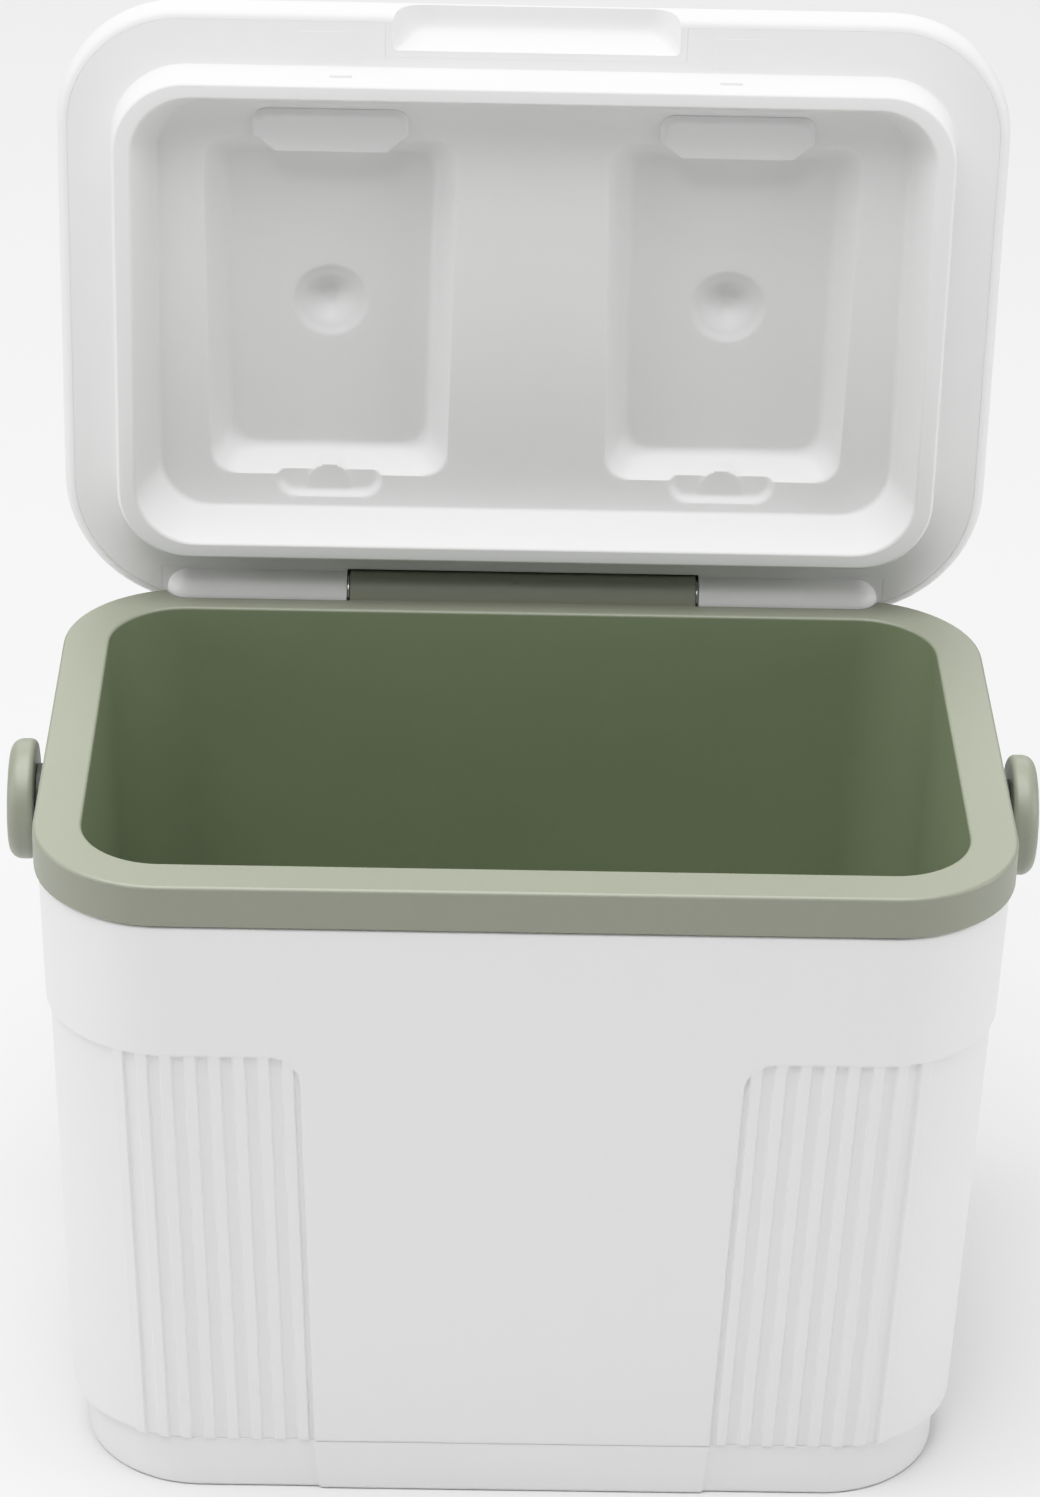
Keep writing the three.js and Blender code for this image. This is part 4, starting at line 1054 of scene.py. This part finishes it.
def build_bail():
    L = 148.0
    # centreline: arm, corner, grip, corner, arm; section half thickness across the U and half width
    path = []
    path += [((190.0, y), (1, 0), 5.0) for y in (2, 20, 40, 60, 80, 95)]
    y0, r = L - 24.0, 24.0
    for t in np.linspace(0, 1, 13):
        a = t * math.pi / 2
        cx = 190 - r
        h = 5.0 + 3.0 * smooth(0, 1, t)
        path.append(((cx + r * math.cos(a), y0 + r * math.sin(a)), (math.cos(a), math.sin(a)), float(h)))
    for x in (150, 110, 70, 35):
        path.append(((x, L), (0, 1), 8.0))
    path.append(((0, L), (0, 1), 8.0))
    full = path + [((-p[0], p[1]), (-n[0], n[1]), h) for p, n, h in path[::-1][1:]]
    rings = []
    m = 9.0
    for (x, y), (nx, ny), h in full:
        sec = rr(h, m, min(h * 0.75, 4.6), nc=6, nx=2, ny=3)
        rings.append(bail_pts([(x + nx * q[0], y + ny * q[0], q[1]) for q in sec]))
    o = loft("handle_moulding", rings)
    # hubs with a soft outer edge
    for s in (-1, 1):
        prof = profile([(0, 185.0), (23.0, 185.0, 2.4, 5), (23.0, 195.0, 5.2, 9), (0, 195.0)])
        hub = lathe_x("h", prof, 96, 0, 0, s)
        v = np.array([p.co for p in hub.data.vertices]) / MM
        w = bail_pts(v)
        for p, q in zip(hub.data.vertices, w):
            p.co = q * MM
        boolean(o, [hub], "UNION")
        bore = lathe_x("c", [(0, 183), (7.5, 183), (7.5, 191.3), (9.2, 191.3), (9.2, 193.9), (11.5, 193.9), (11.5, 197), (0, 197)], 64, 0, PIVOT_Z, s)
        boolean(o, [bore], "DIFFERENCE")
        # moulding nib on the front of the hub's rim
        tick = box("t", *sorted((s * 188.2, s * 191.4)), -23.05, -22.2, -0.28, 0.28)
        turn = Matrix.Rotation(math.radians(20.0), 4, "X")
        for p in tick.data.vertices:
            q = turn @ (p.co / MM)
            p.co = bail_pts([(q.x, q.y, q.z)])[0] * MM
        outward(tick)
        boolean(o, [tick], "UNION")
    shade(o, 30)
    return finish_piece(o, GREEN_H, "handle", "green_handle", "handle_bail")


def build_caps():
    for s, nm in ((-1, "left"), (1, "right")):
        prof = profile([(0, 194.1), (11.2, 194.1, 0.2, 1), (11.2, 195.0, 0.5, 4), (8.4, 195.2, 0.6, 3), (7.6, 194.9, 0.6, 3), (0, 195.0)])
        o = lathe_x("handle_cap_moulding_" + nm, prof, 72, 0, PIVOT_Z, s)
        shade(o, 30)
        finish_piece(o, GREEN_H, "handle", "green_handle", "handle_cap_" + nm)


# ================================================================ small parts
def build_pins():
    for s, nm in ((-1, "left"), (1, "right")):
        o = lathe_x("hinge_pin_rod_" + nm, profile([(0, 46.0), (2.0, 46.0, 0.4, 3), (2.0, 69.2), (7.2, 69.2, 0.2, 2), (7.2, 70.0, 0.2, 2), (2.0, 70.0), (2.0, 138.0, 0.4, 3), (0, 138.0)]), 40, HINGE_Y, HINGE_Z, s)
        shade(o, 30)
        finish_piece(o, STEEL, "box", "steel", "hinge_pin_" + nm)


build_shell()
build_liner()
build_lid_cover()
build_lid_panel()
build_bail()
build_caps()
build_pins()

# carried-over CAD nodes
for name, mat in (("body_insulation", FOAM), ("lid_insulation", FOAM), ("foam_fill_plug", WHITE_BODY),
                  # the pivot spacers get the near-black painted-shade colour
                  ("pivot_stud_left", GREEN_H), ("pivot_stud_right", GREEN_H), ("pivot_spacer_left", SPACER_PAINTED_SHADE), ("pivot_spacer_right", SPACER_PAINTED_SHADE),
                  ("handle_screw_left", STEEL), ("handle_screw_right", STEEL), ("handle_washer_left", STEEL), ("handle_washer_right", STEEL)):
    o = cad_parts[name]
    o.data.materials.clear()
    o.data.materials.append(mat)

# ============================================================ camera and stage
cam_data = bpy.data.cameras.new("camera")
cam = bpy.data.objects.new("camera", cam_data)
scene.collection.objects.link(cam)
cam_data.sensor_width = 36.0
cam_data.sensor_fit = "AUTO"
cam_data.lens = 113.857
R_ = Vector((0.99971521, -0.0068955, 0.02284619))
U_ = Vector((-0.01684864, 0.4740336, 0.88034554))
F_ = Vector((0.01690029, 0.88047975, -0.47378243))
M = Matrix(((R_.x, U_.x, -F_.x, -0.032027), (R_.y, U_.y, -F_.y, -1.579645), (R_.z, U_.z, -F_.z, 1.111792), (0, 0, 0, 1)))
cam.matrix_world = M
cam_data.clip_start, cam_data.clip_end = 0.05, 60.0
scene.camera = cam


def stage_mat(name, color, emit=0.0):
    m = bpy.data.materials.new(name)
    m.use_nodes = True
    b = m.node_tree.nodes["Principled BSDF"]
    b.inputs["Base Color"].default_value = (*color, 1)
    b.inputs["Roughness"].default_value = 0.9
    b.inputs["Specular IOR Level"].default_value = 0.1
    return m


bpy.ops.mesh.primitive_plane_add(size=40, location=(0, 0, 0))
floor = bpy.context.object
floor.name = "floor"
floor.data.materials.append(stage_mat("floor_pale", (0.68, 0.68, 0.68)))

scene.view_settings.view_transform = "Standard"
scene.view_settings.look = "None"
# soft shoulder for the highlights
scene.view_settings.use_curve_mapping = True
cm = scene.view_settings.curve_mapping
cm.white_level = (1.9, 1.9, 1.9)
pts_c = cm.curves[3].points
pts_c[0].location, pts_c[1].location = (0, 0), (1, 1)
for q in ((0.2632, 0.50), (0.3684, 0.68), (0.5263, 0.84), (0.7105, 0.95)):
    pts_c.new(*q)
cm.update()
world = bpy.data.worlds.new("world")
scene.world = world
world.use_nodes = True
world.node_tree.nodes["Background"].inputs[0].default_value = (1, 1, 1, 1)
world.node_tree.nodes["Background"].inputs[1].default_value = 0.16


def area(name, loc, target, size, level, size_y=None):
    """Softbox of the given brightness."""
    d = bpy.data.lights.new(name, "AREA")
    d.shape = "RECTANGLE"
    d.size = size
    d.size_y = size_y or size
    d.energy = level * math.pi * d.size * d.size_y
    o = bpy.data.objects.new(name, d)
    scene.collection.objects.link(o)
    o.location = loc
    o.rotation_mode = "QUATERNION"
    o.rotation_quaternion = (Vector(target) - Vector(loc)).to_track_quat("-Z", "Y")
    return o


area("top_soft", (-0.4, -0.3, 3.1), (0, 0, 0.0), 3.3, 5.7)
area("side_left", (-1.8, -0.25, 0.75), (0, 0, 0.25), 1.1, 2.5, 0.9)
area("side_right", (1.8, -0.2, 0.65), (0, 0, 0.25), 1.1, 3.7, 0.9)
area("front_low", (0.0, -2.3, 0.28), (0, 0, 0.25), 2.4, 0.25, 0.5)
area("back_soft", (0.0, 3.4, 2.1), (0, 0.1, 0.3), 4.2, 1.7, 2.2)
